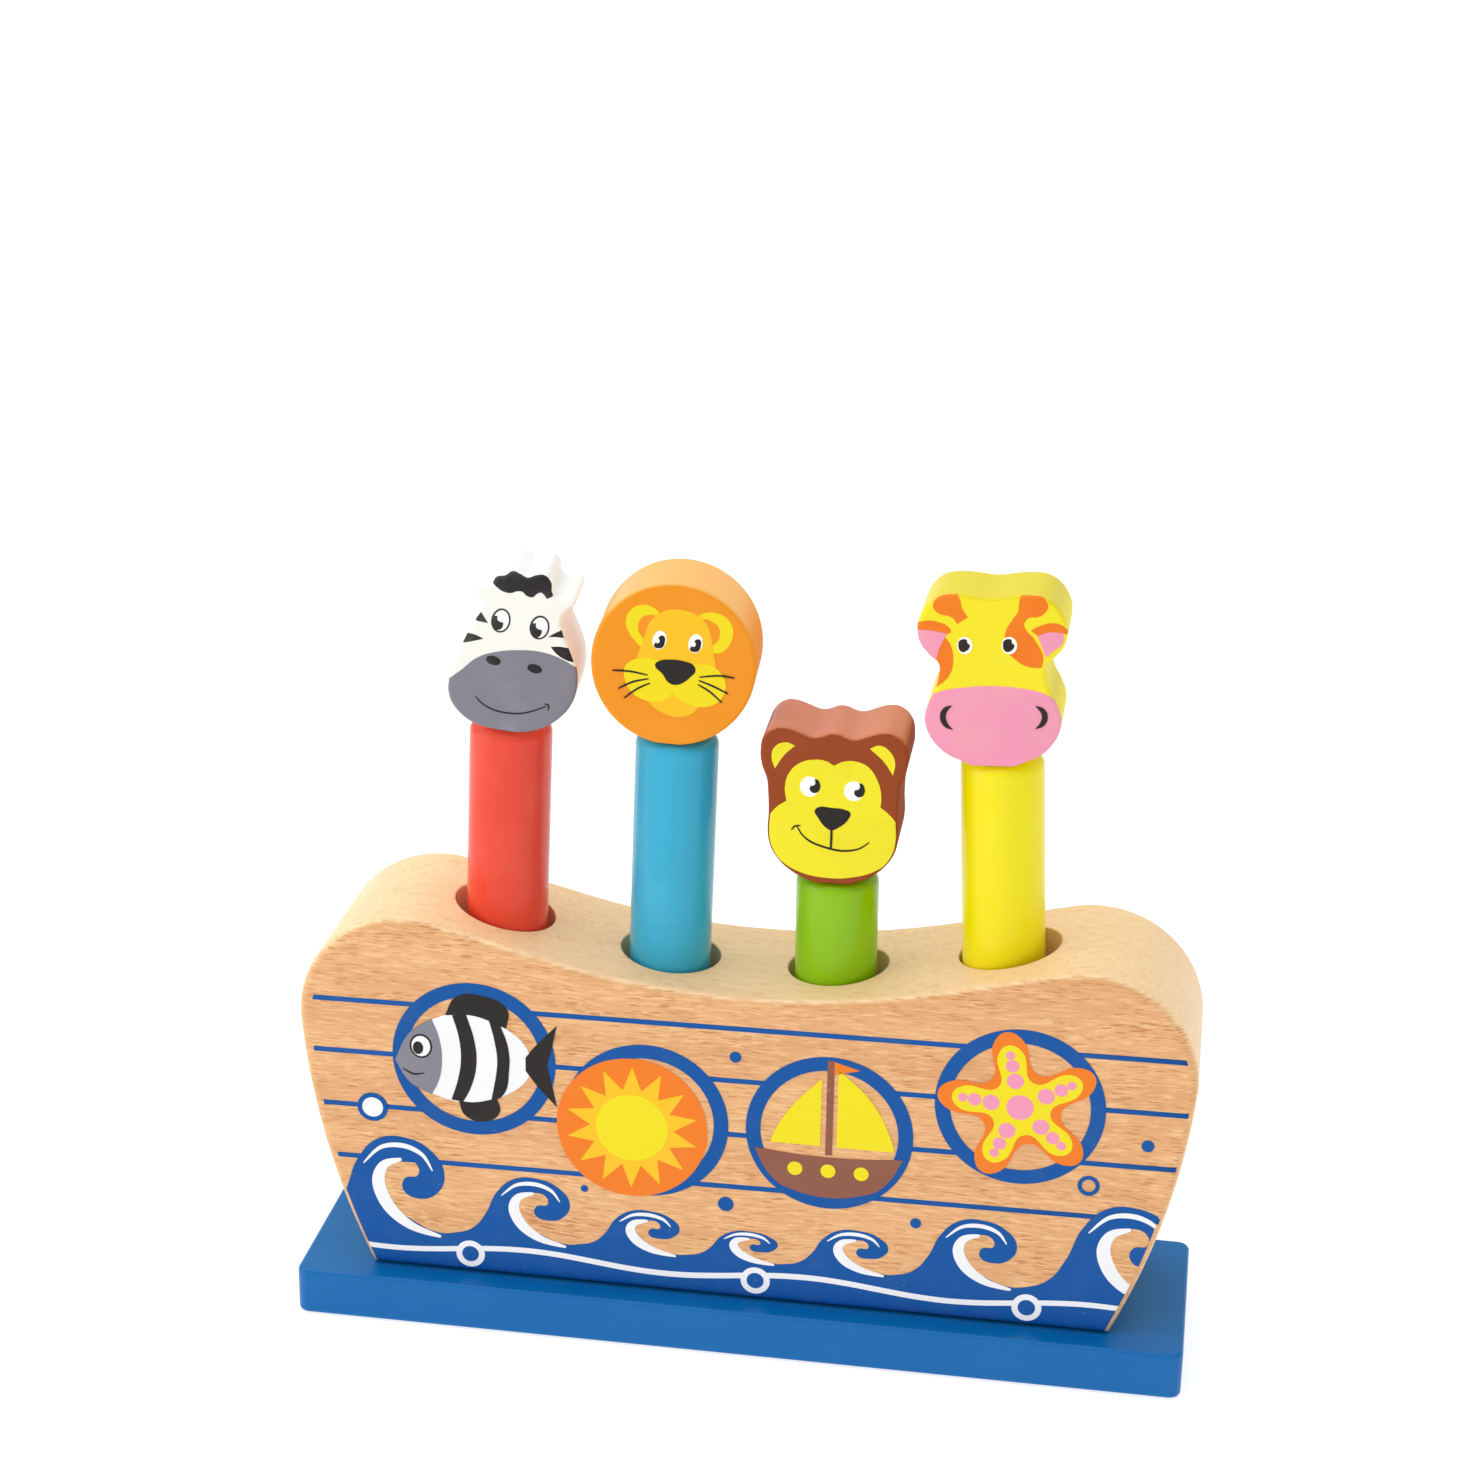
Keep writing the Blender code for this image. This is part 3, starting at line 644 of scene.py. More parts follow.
def screen_ink():
    """Screen ink: almost even, a little thinner here and there, with a few pinholes over the wood's pores."""
    given, place = new_group(
        "screen_ink", {"Ink": (128, 128, 128), "Ground": (225, 175, 125), "Pinholes": 0.0})
    cloud = noise(place, (0.009, 0.009, 0.009), 3.0)
    hole = specks(place, (0.0036, 0.0012, 0.0012), given["Pinholes"], 0.13, 0.07)
    bare = maths("MAXIMUM", ramp(cloud, 0.45, 0.8, 0.0, 0.07), times(hole, 0.6))
    weave = noise(place, (0.0006, 0.0006, 0.0006), 1.0)
    return give(
        colour=mixed(bare, given["Ink"], given["Ground"]),
        roughness=ramp(cloud, 0.3, 0.7, 0.36, 0.48),
        height=maths("SUBTRACT", times(weave, 0.4), hole))


SCREEN_INK = screen_ink()
WOOD = (226, 174, 122)


def ink(name, colour, seed, ground=WOOD, pinholes=0.05):
    """The material of one ink, with the colour that it lies on."""
    values = {"Ink": colour, "Ground": ground, "Pinholes": pinholes, "Seed": seed}
    return finish(name, SCREEN_INK, values, 0.00001, Specular_IOR_Level=0.15)


BLUE_INK = ink("blue_ink", (14, 86, 162), 0.2, (120, 130, 150), 0.10)
WHITE_INK = ink("white_ink", (246, 247, 250), 0.3)
BLACK_INK = ink("black_ink", (44, 40, 40), 0.4, (90, 80, 78))
GREY_INK = ink("grey_ink", (134, 134, 146), 0.5)
ORANGE_INK = ink("orange_ink", (243, 128, 38), 0.6)
AMBER_INK = ink("amber_ink", (252, 198, 38), 0.7)
YELLOW_INK = ink("yellow_ink", (243, 226, 32), 0.8)
BROWN_INK = ink("brown_ink", (146, 92, 74), 0.9)
PINK_INK = ink("pink_ink", (243, 156, 186), 1.1)


def oval(x, z, across, up, tilt=0.0, steps=40):
    """An oval by its middle and half sizes, tilted by that many degrees."""
    lean = math.radians(tilt)
    points = []
    for step in range(steps):
        angle = math.tau * step / steps
        right, high = across * math.cos(angle), up * math.sin(angle)
        points.append((x + right * math.cos(lean) - high * math.sin(lean),
                       z + right * math.sin(lean) + high * math.cos(lean)))
    return points


def dot(x, z, radius, steps=40):
    return oval(x, z, radius, radius, steps=steps)


def moved(points, x, z, size=1.0):
    """The points at that size, moved by X and Z."""
    return [(x + right * size, z + high * size) for right, high in points]


def stroke(points, width, tips=0.35, steps=8):
    """The outline of a brush line along the points, thinner at its tips by that share."""
    path = []
    last = len(points) - 1
    for number in range(last):
        before, start, end, after = (Vector(points[min(max(number + n, 0), last)]) for n in (-1, 0, 1, 2))
        for step in range(steps):
            t = step / steps
            path.append(0.5 * (2 * start + (end - before) * t
                               + (2 * before - 5 * start + 4 * end - after) * t**2
                               + (3 * start - before - 3 * end + after) * t**3))
    path.append(Vector(points[-1]))
    left, right = [], []
    for number, spot in enumerate(path):
        way = (path[min(number + 1, len(path) - 1)] - path[max(number - 1, 0)]).normalized()
        breadth = tips + (1 - tips) * math.sin(math.pi * number / (len(path) - 1))
        across = Vector((-way.y, way.x)) * width / 2 * breadth
        left.append(tuple(spot + across))
        right.append(tuple(spot - across))
    return left + right[::-1]


def front_print(name, outlines, material, layer, margin=None, shift=0.0, depth=ink_set):
    """One ink on the block's front, in the given layer of the print. It is kept off the block's edge by a
    margin, and follows the rounded edge where it is given more depth."""
    thickness = depth + layer * ink_thickness
    plate = flat_block(name, outlines, thickness, 0, material, unit=MM)
    plate.data.transform(Matrix.Translation((0, hull_low.y + depth - thickness / 2, 0)))
    if margin:
        keep = flat_block("keep", [hull_outline()], 2 * hull_thickness, margin, material, proud=-margin)
        keep.data.transform(Matrix.Translation((shift, 0, foot_margin - margin)))
        carve(plate, keep, "INTERSECT")
    if depth > ink_set:
        skin = flat_block("skin", [hull_outline()], hull_thickness, hull_edge_round, material,
                          proud=layer * ink_thickness, edge_steps=hull_edge_steps)
        carve(plate, skin, "INTERSECT")
        soften(plate.data)
    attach(plate, "ark")


def plank_lines():
    """Straight lines from edge to edge that rise a little to the right, left out where a porthole lies."""
    lines = []
    edge = hull_length / 2 / MM
    for middle in plank_heights:
        starts, ends = [-edge], []
        for x, z in portholes:
            reach = (porthole_radius - porthole_band / 2) ** 2 - (middle + plank_rise * x - z) ** 2
            if reach > 0:
                ends.append(x - math.sqrt(reach))
                starts.append(x + math.sqrt(reach))
        ends.append(edge)
        for start, end in zip(starts, ends):
            left, right = middle + plank_rise * start, middle + plank_rise * end
            lines.append([(start, left - plank_line / 2), (end, right - plank_line / 2),
                          (end, right + plank_line / 2), (start, left + plank_line / 2)])
    return lines


porthole_rings = [dot(x, z, radius, steps=96) for x, z in portholes
                  for radius in (porthole_radius, porthole_radius - porthole_band)]

# Waves: blue ink that wraps a little round the block's edge, with white foam over it. Each has a width and a
# height, and they grow towards the ends of the block. One wave's outline, in shares of its width and height,
# goes up its back, over the lip, round its tip and down the hollow. A swell and bubbles run below.
WAVES = ((37, 25), (31, 17), (27, 11), (24, 8), (27, 11), (31, 17), (38, 24))
WAVE_SHARES = [
    (0.02, 0.0), (0.16, 0.10), (0.27, 0.36), (0.36, 0.72), (0.50, 0.96), (0.68, 1.0), (0.86, 0.88),
    (0.95, 0.64), (0.90, 0.42), (0.78, 0.34), (0.67, 0.42), (0.68, 0.55), (0.77, 0.60), (0.76, 0.72),
    (0.66, 0.77), (0.57, 0.70), (0.53, 0.50), (0.59, 0.26), (0.74, 0.08), (0.92, -0.02),
]
FOAM_SHARES = [(0.66, 0.76), (0.54, 0.68), (0.50, 0.48), (0.57, 0.22), (0.72, 0.03), (0.92, -0.06)]
LIP_FOAM_SHARES = [(0.40, 0.68), (0.52, 0.87), (0.67, 0.91), (0.80, 0.83), (0.87, 0.66)]
water_level = 23.0
water_bottom = hull_low.z / MM + 0.6
water_overrun = 3
foam_line, lip_foam_line, foam_tips = 0.09, 0.035, 0.2
swell_height, swell_rise, swell_stretch, swell_line = 18.6, 1.3, 11, 1.5
bubble_places = ((-66, 17.6), (5, 17.8), (71, 17.6))
bubble_radius, bubble_heart_radius = 3.6, 2.1
BLUE_SPOTS = [(-90.0, 55.6, 3.8), (-0.9, 77.5, 1.4), (97.2, 63.7, 1.5), (-37.4, 38.6, 0.9), (43.5, 37.6, 1.3),
              (-2.6, 38.0, 1.9), (84.0, 51.9, 2.6), (84.0, 51.9, 1.65)]
WHITE_SPOT = (-90.0, 55.6, 2.6)


def wave_places():
    start = -sum(width for width, _ in WAVES) / 2
    for width, height in WAVES:
        yield start, width, height
        start += width


def on_wave(shares, start, width, height):
    return [(start + x * width, water_level + z * height) for x, z in shares]


def water():
    end = sum(width for width, _ in WAVES) / 2 + water_overrun
    outline = [(-end, water_bottom), (-end, water_level)]
    for wave in wave_places():
        outline += on_wave(WAVE_SHARES, *wave)
    outline += [(end, water_level), (end, water_bottom)]
    return smooth(outline, corners=(0, 1, len(outline) - 2, len(outline) - 1))


def foam():
    """White strokes in each wave's hollow and on its lip."""
    return [stroke(on_wave(shares, *wave), line * wave[1], foam_tips) for wave in wave_places()
            for shares, line in ((FOAM_SHARES, foam_line), (LIP_FOAM_SHARES, lip_foam_line))]


def hull_print():
    wrap = {"margin": water_margin, "depth": water_depth}
    front_print("plank_line_print", plank_lines(), BLUE_INK, 1, print_margin, print_shift)
    front_print("water_print", [water()], BLUE_INK, 2, **wrap)
    front_print("porthole_print", porthole_rings, BLUE_INK, 3)
    front_print("foam_print", foam(), WHITE_INK, 3, **wrap)
    swell = [(x, swell_height + swell_rise * math.sin(x / swell_stretch)) for x in range(-100, 101, 8)]
    front_print("swell_print", [stroke(swell, swell_line, tips=0.9, steps=4)], WHITE_INK, 3, **wrap)
    front_print("blue_dot_print", [dot(*spot) for spot in BLUE_SPOTS], BLUE_INK, 4)
    bubbles = [dot(*WHITE_SPOT)] + [dot(*place, bubble_radius) for place in bubble_places]
    front_print("bubble_print", bubbles, WHITE_INK, 5)
    hearts = [dot(*place, bubble_heart_radius) for place in bubble_places]
    front_print("bubble_heart_print", hearts, BLUE_INK, 6)


hull_print()

# Fish in the first porthole: a sign of the print in four inks, one over the other. It has a white body, a
# grey head, and black bands, fins and tail.
FISH_BODY = [(-17, -1.5), (-14, 4.6), (-8, 9.2), (-1, 10.8), (6, 8.6), (12.2, 2.6), (12.2, -2.6), (6, -8.4),
             (-1, -10.4), (-8, -9.4), (-14, -6.2)]
FISH_HEAD = [(-17.4, -1.5), (-14.2, 5.0), (-9.2, 8.9), (-7.6, 4.6), (-7.0, -0.6), (-7.8, -5.8), (-9.4, -9.2),
             (-14.2, -6.6)]
FISH_TAIL = [(11.4, 1.6), (14.0, 5.0), (18.2, 9.6), (17.0, 3.6), (16.2, 0), (17.0, -3.6), (18.2, -9.6),
             (14.0, -5.0), (11.4, -1.6)]
FISH_BACK_FIN = [(-6.2, 10.0), (-3.6, 14.6), (2.2, 15.2), (7.4, 12.6), (7.2, 8.0), (0, 10.4)]
FISH_BELLY_FIN = [(-3.4, -10.2), (-2.0, -13.6), (2.4, -14.6), (5.6, -12.2), (5.0, -8.8), (0, -10.2)]
FISH_BANDS = [
    [(-4.6, 10.1), (-1.6, 10.7), (0.2, 4.5), (0.6, -1), (-0.6, -6.5), (-2.4, -10.3), (-5.0, -10.0),
     (-3.4, -4.5), (-2.8, 0), (-3.2, 5)],
    [(3.4, 9.8), (6.0, 8.5), (7.6, 3.6), (7.8, -1.6), (6.2, -8.2), (3.8, -9.4), (4.8, -4), (5.2, 0),
     (4.6, 5)],
]
fish_size = 1.12


def sign_part(points, place, size, *corners):
    """A part of a sign at its place and size, smooth except at those corners."""
    return smooth(moved(points, *place, size), corners)


def fish_sign(*place):
    front_print("fish_body_print", [sign_part(FISH_BODY, place, fish_size, 0)], WHITE_INK, 4)
    fins = [sign_part(FISH_TAIL, place, fish_size, 0, 2, 6, 8)]
    fins += [sign_part(fin, place, fish_size, 0, 4) for fin in (FISH_BACK_FIN, FISH_BELLY_FIN)]
    front_print("fish_fin_print", fins, BLACK_INK, 5)
    front_print("fish_head_print", [sign_part(FISH_HEAD, place, fish_size, 0, 2, 6)], GREY_INK, 6)
    bands = [sign_part(band, place, fish_size, 0, 1, 5, 6) for band in FISH_BANDS]
    front_print("fish_band_print", bands, BLACK_INK, 6)
    eye_x, eye_z = moved([(-11.6, 2.2)], *place, fish_size)[0]
    mouth = stroke(moved([(-15.8, -3.4), (-13.4, -4.6), (-10.9, -4.2)], *place, fish_size), 0.5)
    front_print("fish_line_print", [oval(eye_x, eye_z, 2.8, 3.2), mouth], BLACK_INK, 7)
    front_print("fish_eye_print", [oval(eye_x, eye_z, 2.3, 2.7)], WHITE_INK, 8)
    front_print("fish_pupil_print", [oval(eye_x - 0.7, eye_z - 0.5, 1.3, 1.7)], BLACK_INK, 9)


fish_sign(*portholes[0])

# Sun in the second porthole: an orange disc with an amber burst and a yellow middle, printed one over the
# other. It sits a little to the left and below the ring, and covers a part of it.
sun_offset = (-3.4, -2.2)
sun_disc_radius, sun_middle_radius = 18.4, 8.8
sun_rays, sun_ray_tip, sun_ray_foot = 14, 16.2, 10.2


def star(x, z, points, outer, inner):
    """A star's outline, its points first up and then clockwise."""
    outline = []
    for step in range(2 * points):
        angle = math.radians(90) - math.pi * step / points
        outline.append(polar(angle, outer if step % 2 == 0 else inner, x, z))
    return outline


def sun_sign(*place):
    [(x, z)] = moved([sun_offset], *place)
    front_print("sun_disc_print", [dot(x, z, sun_disc_radius, steps=90)], ORANGE_INK, 4)
    front_print("sun_burst_print", [star(x, z, sun_rays, sun_ray_tip, sun_ray_foot)], AMBER_INK, 5)
    front_print("sun_middle_print", [dot(x, z, sun_middle_radius, steps=60)], YELLOW_INK, 6)


sun_sign(*portholes[1])

# Sailing boat in the third porthole: a sign with brown hull and mast, yellow sails and lights, and an orange
# pennant. The hull hides the mast's foot.
BOAT_HULL = [(-15.4, -4.6), (-6.0, -5.4), (6.0, -5.4), (15.4, -4.6), (12.4, -10.2), (8.6, -13.2),
             (-8.6, -13.2), (-12.4, -10.2)]
BOAT_MAINSAIL = [(1.6, 14.6), (8.4, 8.2), (12.6, 0.4), (13.6, -3.0), (1.6, -3.0)]
BOAT_JIB = [(-1.8, 12.4), (-7.6, 5.8), (-11.0, 0.2), (-12.2, -3.0), (-1.8, -3.0)]
BOAT_MAST = [(-0.7, -5.0), (0.7, -5.0), (0.7, 16.6), (-0.7, 16.6)]
BOAT_PENNANT = [(0.7, 16.4), (6.0, 14.9), (0.7, 13.4)]
boat_size = 1.16
boat_light_drop, boat_light_radius, boat_light_gap = 10.0, 1.8, 8.0


def boat_sign(x, z):
    front_print("boat_mast_print", [moved(BOAT_MAST, x, z, boat_size)], BROWN_INK, 4)
    front_print("boat_hull_print", [sign_part(BOAT_HULL, (x, z), boat_size, 0, 3)], BROWN_INK, 5)
    sails = [sign_part(sail, (x, z), boat_size, 0, 3, 4) for sail in (BOAT_MAINSAIL, BOAT_JIB)]
    front_print("boat_sail_print", sails, YELLOW_INK, 5)
    front_print("boat_pennant_print", [moved(BOAT_PENNANT, x, z, boat_size)], ORANGE_INK, 5)
    lights = [dot(x + side, z - boat_light_drop, boat_light_radius)
              for side in (-boat_light_gap, 0.0, boat_light_gap)]
    front_print("boat_light_print", lights, YELLOW_INK, 6)


boat_sign(*portholes[2])

# Starfish in the fourth porthole: an orange star with blunt arms and soft hollows, with a smaller yellow one
# on it and pink spots along each arm.
starfish_turn = 12.0
starfish_reaches, starfish_light_reaches = (19.6, 9.6), (16.2, 7.2)
starfish_bluntness = 0.90
starfish_middle_spot = 3.2
STARFISH_ARM_SPOTS = ((6.9, 2.0), (10.8, 1.6), (13.6, 1.1))
starfish_arms = [math.radians(90 + starfish_turn - 72 * arm) for arm in range(5)]


def rounded_star(x, z, outer, inner):
    """A five-armed star with blunt arms and soft hollows, from degrees off an arm's middle and reaches."""
    cheek = outer * starfish_bluntness
    knots = ((36, inner), (11, cheek), (0, outer), (-11, cheek))
    return smooth([polar(arm + math.radians(offset), reach, x, z) for arm in starfish_arms
                   for offset, reach in knots])


def starfish_sign(*place):
    front_print("starfish_print", [rounded_star(*place, *starfish_reaches)], ORANGE_INK, 4)
    front_print("starfish_light_print", [rounded_star(*place, *starfish_light_reaches)], YELLOW_INK, 5)
    spots = [dot(*place, starfish_middle_spot)]
    spots += [dot(*polar(arm, reach, *place), size) for arm in starfish_arms
              for reach, size in STARFISH_ARM_SPOTS]
    front_print("starfish_spot_print", spots, PINK_INK, 6)


starfish_sign(*portholes[3])

# Springs: drawn steel wire, wound with an eye that the washer holds, a closed coil at each end and six open
# coils between. The raised pegs stand on theirs, and the low peg squeezes its own.
ANIMALS = ("zebra", "lion", "monkey", "giraffe")
wire_radius, wire_steps = 0.0006, 3
coil_radius = 0.0084
eye_radius, eye_turns = 0.003, 1.5
closed_pitch = 0.00168
open_turns = 6.0
points_per_turn = 28
SPRING_WIRE = finish(
    "spring_wire", PLATED_STEEL,
    {"Metal": (178, 179, 184), "Dull Metal": (120, 120, 124), "Seed": 0.2}, 0.000008, Metallic=1.0)


def coil(x, low, high):
    """Points along the wire, from the eye on the board to the end of the top coil."""
    open_rise = high - low - 2 * wire_radius - 2 * closed_pitch
    stages = ((1.0, 0.0), (1.0, closed_pitch), (open_turns, open_rise), (1.0, closed_pitch))
    turns = sum(stage[0] for stage in stages)
    for step in range(round(turns * points_per_turn) + 1):
        turn = step / points_per_turn
        radius = eye_radius + (coil_radius - eye_radius) * min(turn / eye_turns, 1)
        height, left = low + wire_radius, turn
        for length, climb in stages:
            height += climb * min(max(left / length, 0), 1)
            left -= length
        yield *polar(math.tau * turn, radius, x), height


def spring(animal, slot):
    low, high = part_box(animal + "_spring")
    curve = adjusted(bpy.data.curves.new("spring", "CURVE"), dimensions="3D", bevel_depth=wire_radius,
                     bevel_resolution=wire_steps, use_fill_caps=True)
    points = list(coil(slot * peg_pitch, low.z, high.z))
    spline = curve.splines.new("POLY")
    spline.points.add(len(points) - 1)
    for knot, point in zip(spline.points, points):
        knot.co = (*point, 1)
    made = piece_of(animal + "_coil_spring", solid_curve(curve, weld), SPRING_WIRE)
    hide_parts(animal + "_spring")
    foot, top = (slot * peg_pitch, 0, low.z), (slot * peg_pitch, 0, high.z)
    press = next(joint for joint in frame["joints"] if joint["name"] == animal + "_press")
    lowest = press["range_m"][0]
    if lowest < 0:
        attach(made, "ark")
        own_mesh(made)
        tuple(foot)
    else:
        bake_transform(made)
        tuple(foot)
        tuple(top)


for animal_name, bore_slot in zip(ANIMALS, SLOTS):
    spring(animal_name, bore_slot)

# Peg shafts: beech dowel, faced square, its ends rounded over, dipped in semi-gloss paint that gathers a
# little at the shoulder. A drilled hole in the top takes the plain beech dowel that carries the head.
shaft_steps = 96
shaft_top_round, shaft_top_steps = 0.0027, 8
shaft_foot_round, shaft_foot_steps = 0.0012, 5
dowel_hole_radius, dowel_hole_depth, dowel_hole_steps = 0.0043, 0.013, 32
SHAFT_PAINTS = (((233, 72, 50), (239, 96, 76)), ((54, 172, 208), (86, 188, 216)),
                ((138, 192, 0), (156, 202, 40)), ((244, 229, 0), (245, 233, 48)))
PLAIN_BEECH = finish("plain_beech", BEECH_GRAIN, {"Seed": 0.47}, 0.00003)
dress("dowel", PLAIN_BEECH)


def shaft_place(animal):
    """Where the shaft stands, its length and its radius, read from its modelled node."""
    mesh = frame["nodes"][animal + "_peg_shaft"].data
    corners = {tuple(round(share, 7) for share in vertex.co) for vertex in mesh.vertices}
    spots = [Vector(corner) for corner in corners]
    middle = (min(spot.z for spot in spots) + max(spot.z for spot in spots)) / 2
    upper = [spot for spot in spots if spot.z > middle]
    lower = [spot for spot in spots if spot.z <= middle]
    low_end, high_end = (sum(group, Vector()) / len(group) for group in (lower, upper))
    axis = (high_end - low_end).normalized()
    heights = [(spot - low_end).dot(axis) for spot in spots]
    radius = max(((spot - low_end) - axis * height).length for spot, height in zip(spots, heights))
    foot, top = low_end + axis * min(heights), low_end + axis * max(heights)
    lean = Vector((0, 0, 1)).rotation_difference(top - foot).to_matrix().to_4x4()
    return Matrix.Translation(foot) @ lean, (top - foot).length, radius


def quarter(radius, start, steps):
    """A quarter circle, clockwise from its start in degrees."""
    return [polar(math.radians(start - 90 * step / steps), radius) for step in range(steps + 1)]


def peg_shaft(animal, paint):
    place, length, radius = shaft_place(animal)
    shoulder = [(radius - shaft_top_round + out, length - shaft_top_round + up)
                for out, up in quarter(shaft_top_round, 90, shaft_top_steps)]
    foot = [(radius - shaft_foot_round + out, shaft_foot_round + up)
            for out, up in quarter(shaft_foot_round, 0, shaft_foot_steps)]
    floor = length - dowel_hole_depth
    hole = [(0, floor), (dowel_hole_radius, floor), (dowel_hole_radius, length)]
    made = turned(animal + "_shaft", hole + shoulder + foot + [(0, 0)], shaft_steps, paint)
    made.data.transform(place)
    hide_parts(animal + "_peg_shaft")
    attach(made, animal + "_peg")


for number, (animal_name, (full, thin)) in enumerate(zip(ANIMALS, SHAFT_PAINTS)):
    coat = finish(
        animal_name + "_shaft_paint", PAINT_COAT,
        {"Paint": full, "Thin Paint": thin, "Patches": 0.25, "Streaks": 0.0, "Gloss Roughness": 0.2,
         "Seed": 0.13 + 0.21 * number},
        0.00003, Specular_IOR_Level=0.28)
    peg_shaft(animal_name, coat)

# Heads: sawn from 19.5 mm board, edges sanded round, painted all over and then printed on the front. Each
# sits on its shaft's flat top, turned and tipped a little as it was glued.
head_thickness = 0.0195
head_edge_round = 0.001
HEAD_CUT = {"unit": MM, "fineness": 10, "edge_steps": 5}
HEADS = {}


def outline_of(shares, width, height, shift, mirror=False):
    """An outline from shares of the half width and of the height."""
    points = [(x * width / 2, z * height) for x, z in shares]
    if mirror:
        points += [(-x, z) for x, z in reversed(points)]
    return [(x + shift, z) for x, z in points]


def head_paint(animal, paint, thin, side, seed, patches=0.3, sawn=0.0):
    """A head's paint. side is a colour painted on its upward edges as a painted sheen of the light from
    above, and its other sawn edges are duller by sawn.
    """
    return finish(
        animal + "_head_paint", PAINT_COAT,
        {"Paint": paint, "Thin Paint": thin, "Painted Sheen": side, "Painted Sheen Share": 0.85, "Patches": patches,
         "Streaks": 0.1, "Gloss Roughness": 0.3, "Sawn Roughness": sawn, "Seed": seed},
        0.00004, Specular_IOR_Level=0.25)


def head_place(animal, points, turn, tip):
    """Where the head sits: on the shaft's top, turned about the peg and tipped sideways, both in degrees."""
    peg, length, _ = shaft_place(animal)
    tipped = math.radians(tip)
    lowest = min(z * MM * math.cos(tipped) - x * MM * math.sin(tipped) for x, z in points)
    seat = Matrix.Translation((0, 0, length + fit_gap - lowest))
    return peg @ seat @ rotation(turn, "Z") @ rotation(tip, "Y")


def head(animal, points, turn, tip, paint, curved=True):
    """A painted head, drilled for its dowel. Its outline and place are kept for its prints."""
    place = head_place(animal, points, turn, tip)
    outline = smooth(points, seated=True) if curved else points
    HEADS[animal] = outline, place
    block = flat_block(animal + "_head_block", [outline], head_thickness, head_edge_round, paint, **HEAD_CUT)
    peg, length, _ = shaft_place(animal)
    profile = hole_profile(dowel_hole_radius, length - cut_overrun, length + dowel_hole_depth)
    hole = turned("dowel_hole", profile, dowel_hole_steps, paint)
    hole.matrix_world = place.inverted() @ peg
    carve(block, hole)
    block.data.transform(place)
    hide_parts(animal + "_head")
    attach(block, animal + "_peg")
    even_shading(block)


def head_print(animal, mark, material, layer, reach, outlines):
    """One ink on a head's front. It follows the rounded edge over which it reaches, in millimetres."""
    outline, place = HEADS[animal]
    depth = reach * MM
    plate = flat_block(f"{animal}_{mark}_print", outlines, cut_overrun + depth, 0, material, unit=MM)
    plate.data.transform(Matrix.Translation((0, (depth - cut_overrun - head_thickness) / 2, 0)))
    skin = flat_block("skin", [outline], head_thickness, head_edge_round, material,
                      proud=layer * ink_thickness, **HEAD_CUT)
    carve(plate, skin, "INTERSECT")
    soften(plate.data)
    plate.data.transform(place)
    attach(plate, animal + "_peg")


def pair(points, right, up, *corners):
    """An outline twice, the second one moved."""
    return [smooth(points, corners), smooth(moved(points, right, up), corners)]


# Zebra head: painted white, with a muzzle that bulges at the sides and small ears beside the mane's bump.
# The print is a grey muzzle, a black mane, stripes, nostrils and smile, and eyes of white on black.
ZEBRA_WHITE = (248, 247, 238)
ZEBRA_GREY_INK = ink("zebra_grey_ink", (132, 131, 142), 0.51, ZEBRA_WHITE, 0.0)
ZEBRA_BLACK_INK = ink("zebra_black_ink", (46, 42, 44), 0.52, ZEBRA_WHITE, 0.0)
ZEBRA_EYE_INK = ink("zebra_eye_ink", (252, 252, 252), 0.53, ZEBRA_WHITE, 0.0)
zebra_points = outline_of(
    [(0.11, 0.0), (0.32, 0.015), (0.58, 0.063), (0.80, 0.137), (0.95, 0.234), (1.0, 0.34), (0.96, 0.457),
     (0.84, 0.561), (0.70, 0.66), (0.64, 0.751), (0.72, 0.817), (0.82, 0.863), (0.72, 0.888), (0.55, 0.876),
     (0.45, 0.893), (0.40, 0.964), (0.29, 1.0), (0.16, 0.992), (0.04, 0.97), (-0.09, 0.987), (-0.20, 0.997),
     (-0.31, 0.964), (-0.44, 0.947), (-0.50, 0.904), (-0.60, 0.876), (-0.72, 0.871), (-0.74, 0.832),
     (-0.63, 0.769), (-0.68, 0.695), (-0.82, 0.566), (-0.93, 0.421), (-1.0, 0.279), (-0.97, 0.168),
     (-0.82, 0.086), (-0.56, 0.023), (-0.32, 0.004), (-0.11, 0.0)],
    width=30.0, height=39.4, shift=0.3)
zebra_muzzle = smooth(
    [(-18, 6), (-15.4, 10.2), (-14.1, 11.6), (-12.1, 13.6), (-8.6, 17.3), (-4.6, 19.3), (0.7, 20.6),
     (6.1, 21.0), (10.7, 20.1), (14.8, 18.2), (17.5, 16.0), (17.5, -2), (-18, -2)], corners=(0, 10, 11, 12))
zebra_mane = smooth(
    [(-7.4, 36.2), (-8.4, 38.4), (-3.0, 41.0), (5.6, 41.0), (8.0, 38.6), (7.1, 34.8), (5.9, 34.1),
     (5.1, 35.0), (4.4, 35.4), (3.6, 35.0), (2.6, 34.0), (1.2, 34.1), (0.1, 34.9), (-1.0, 34.9),
     (-2.6, 34.2), (-4.6, 34.4), (-6.0, 35.2)], corners=(0, 1, 2, 3, 4, 5, 6))
zebra_stripes = [
    smooth([(-8.9, 28.6), (-10.2, 26.3), (-7.0, 26.1)], (0, 1, 2)),
    smooth([(-12.0, 23.0), (-9.6, 22.8), (-7.7, 22.1), (-10.0, 21.2), (-13.4, 20.0)], (0, 2, 4)),
    smooth([(10.6, 27.3), (9.0, 26.3), (7.2, 24.9), (9.2, 25.2), (11.3, 25.2)], (0, 2, 4)),
    smooth([(8.1, 22.6), (10.6, 23.0), (13.2, 22.7), (14.5, 19.6), (12.2, 19.9), (9.8, 21.0)], (0, 2, 3)),
]
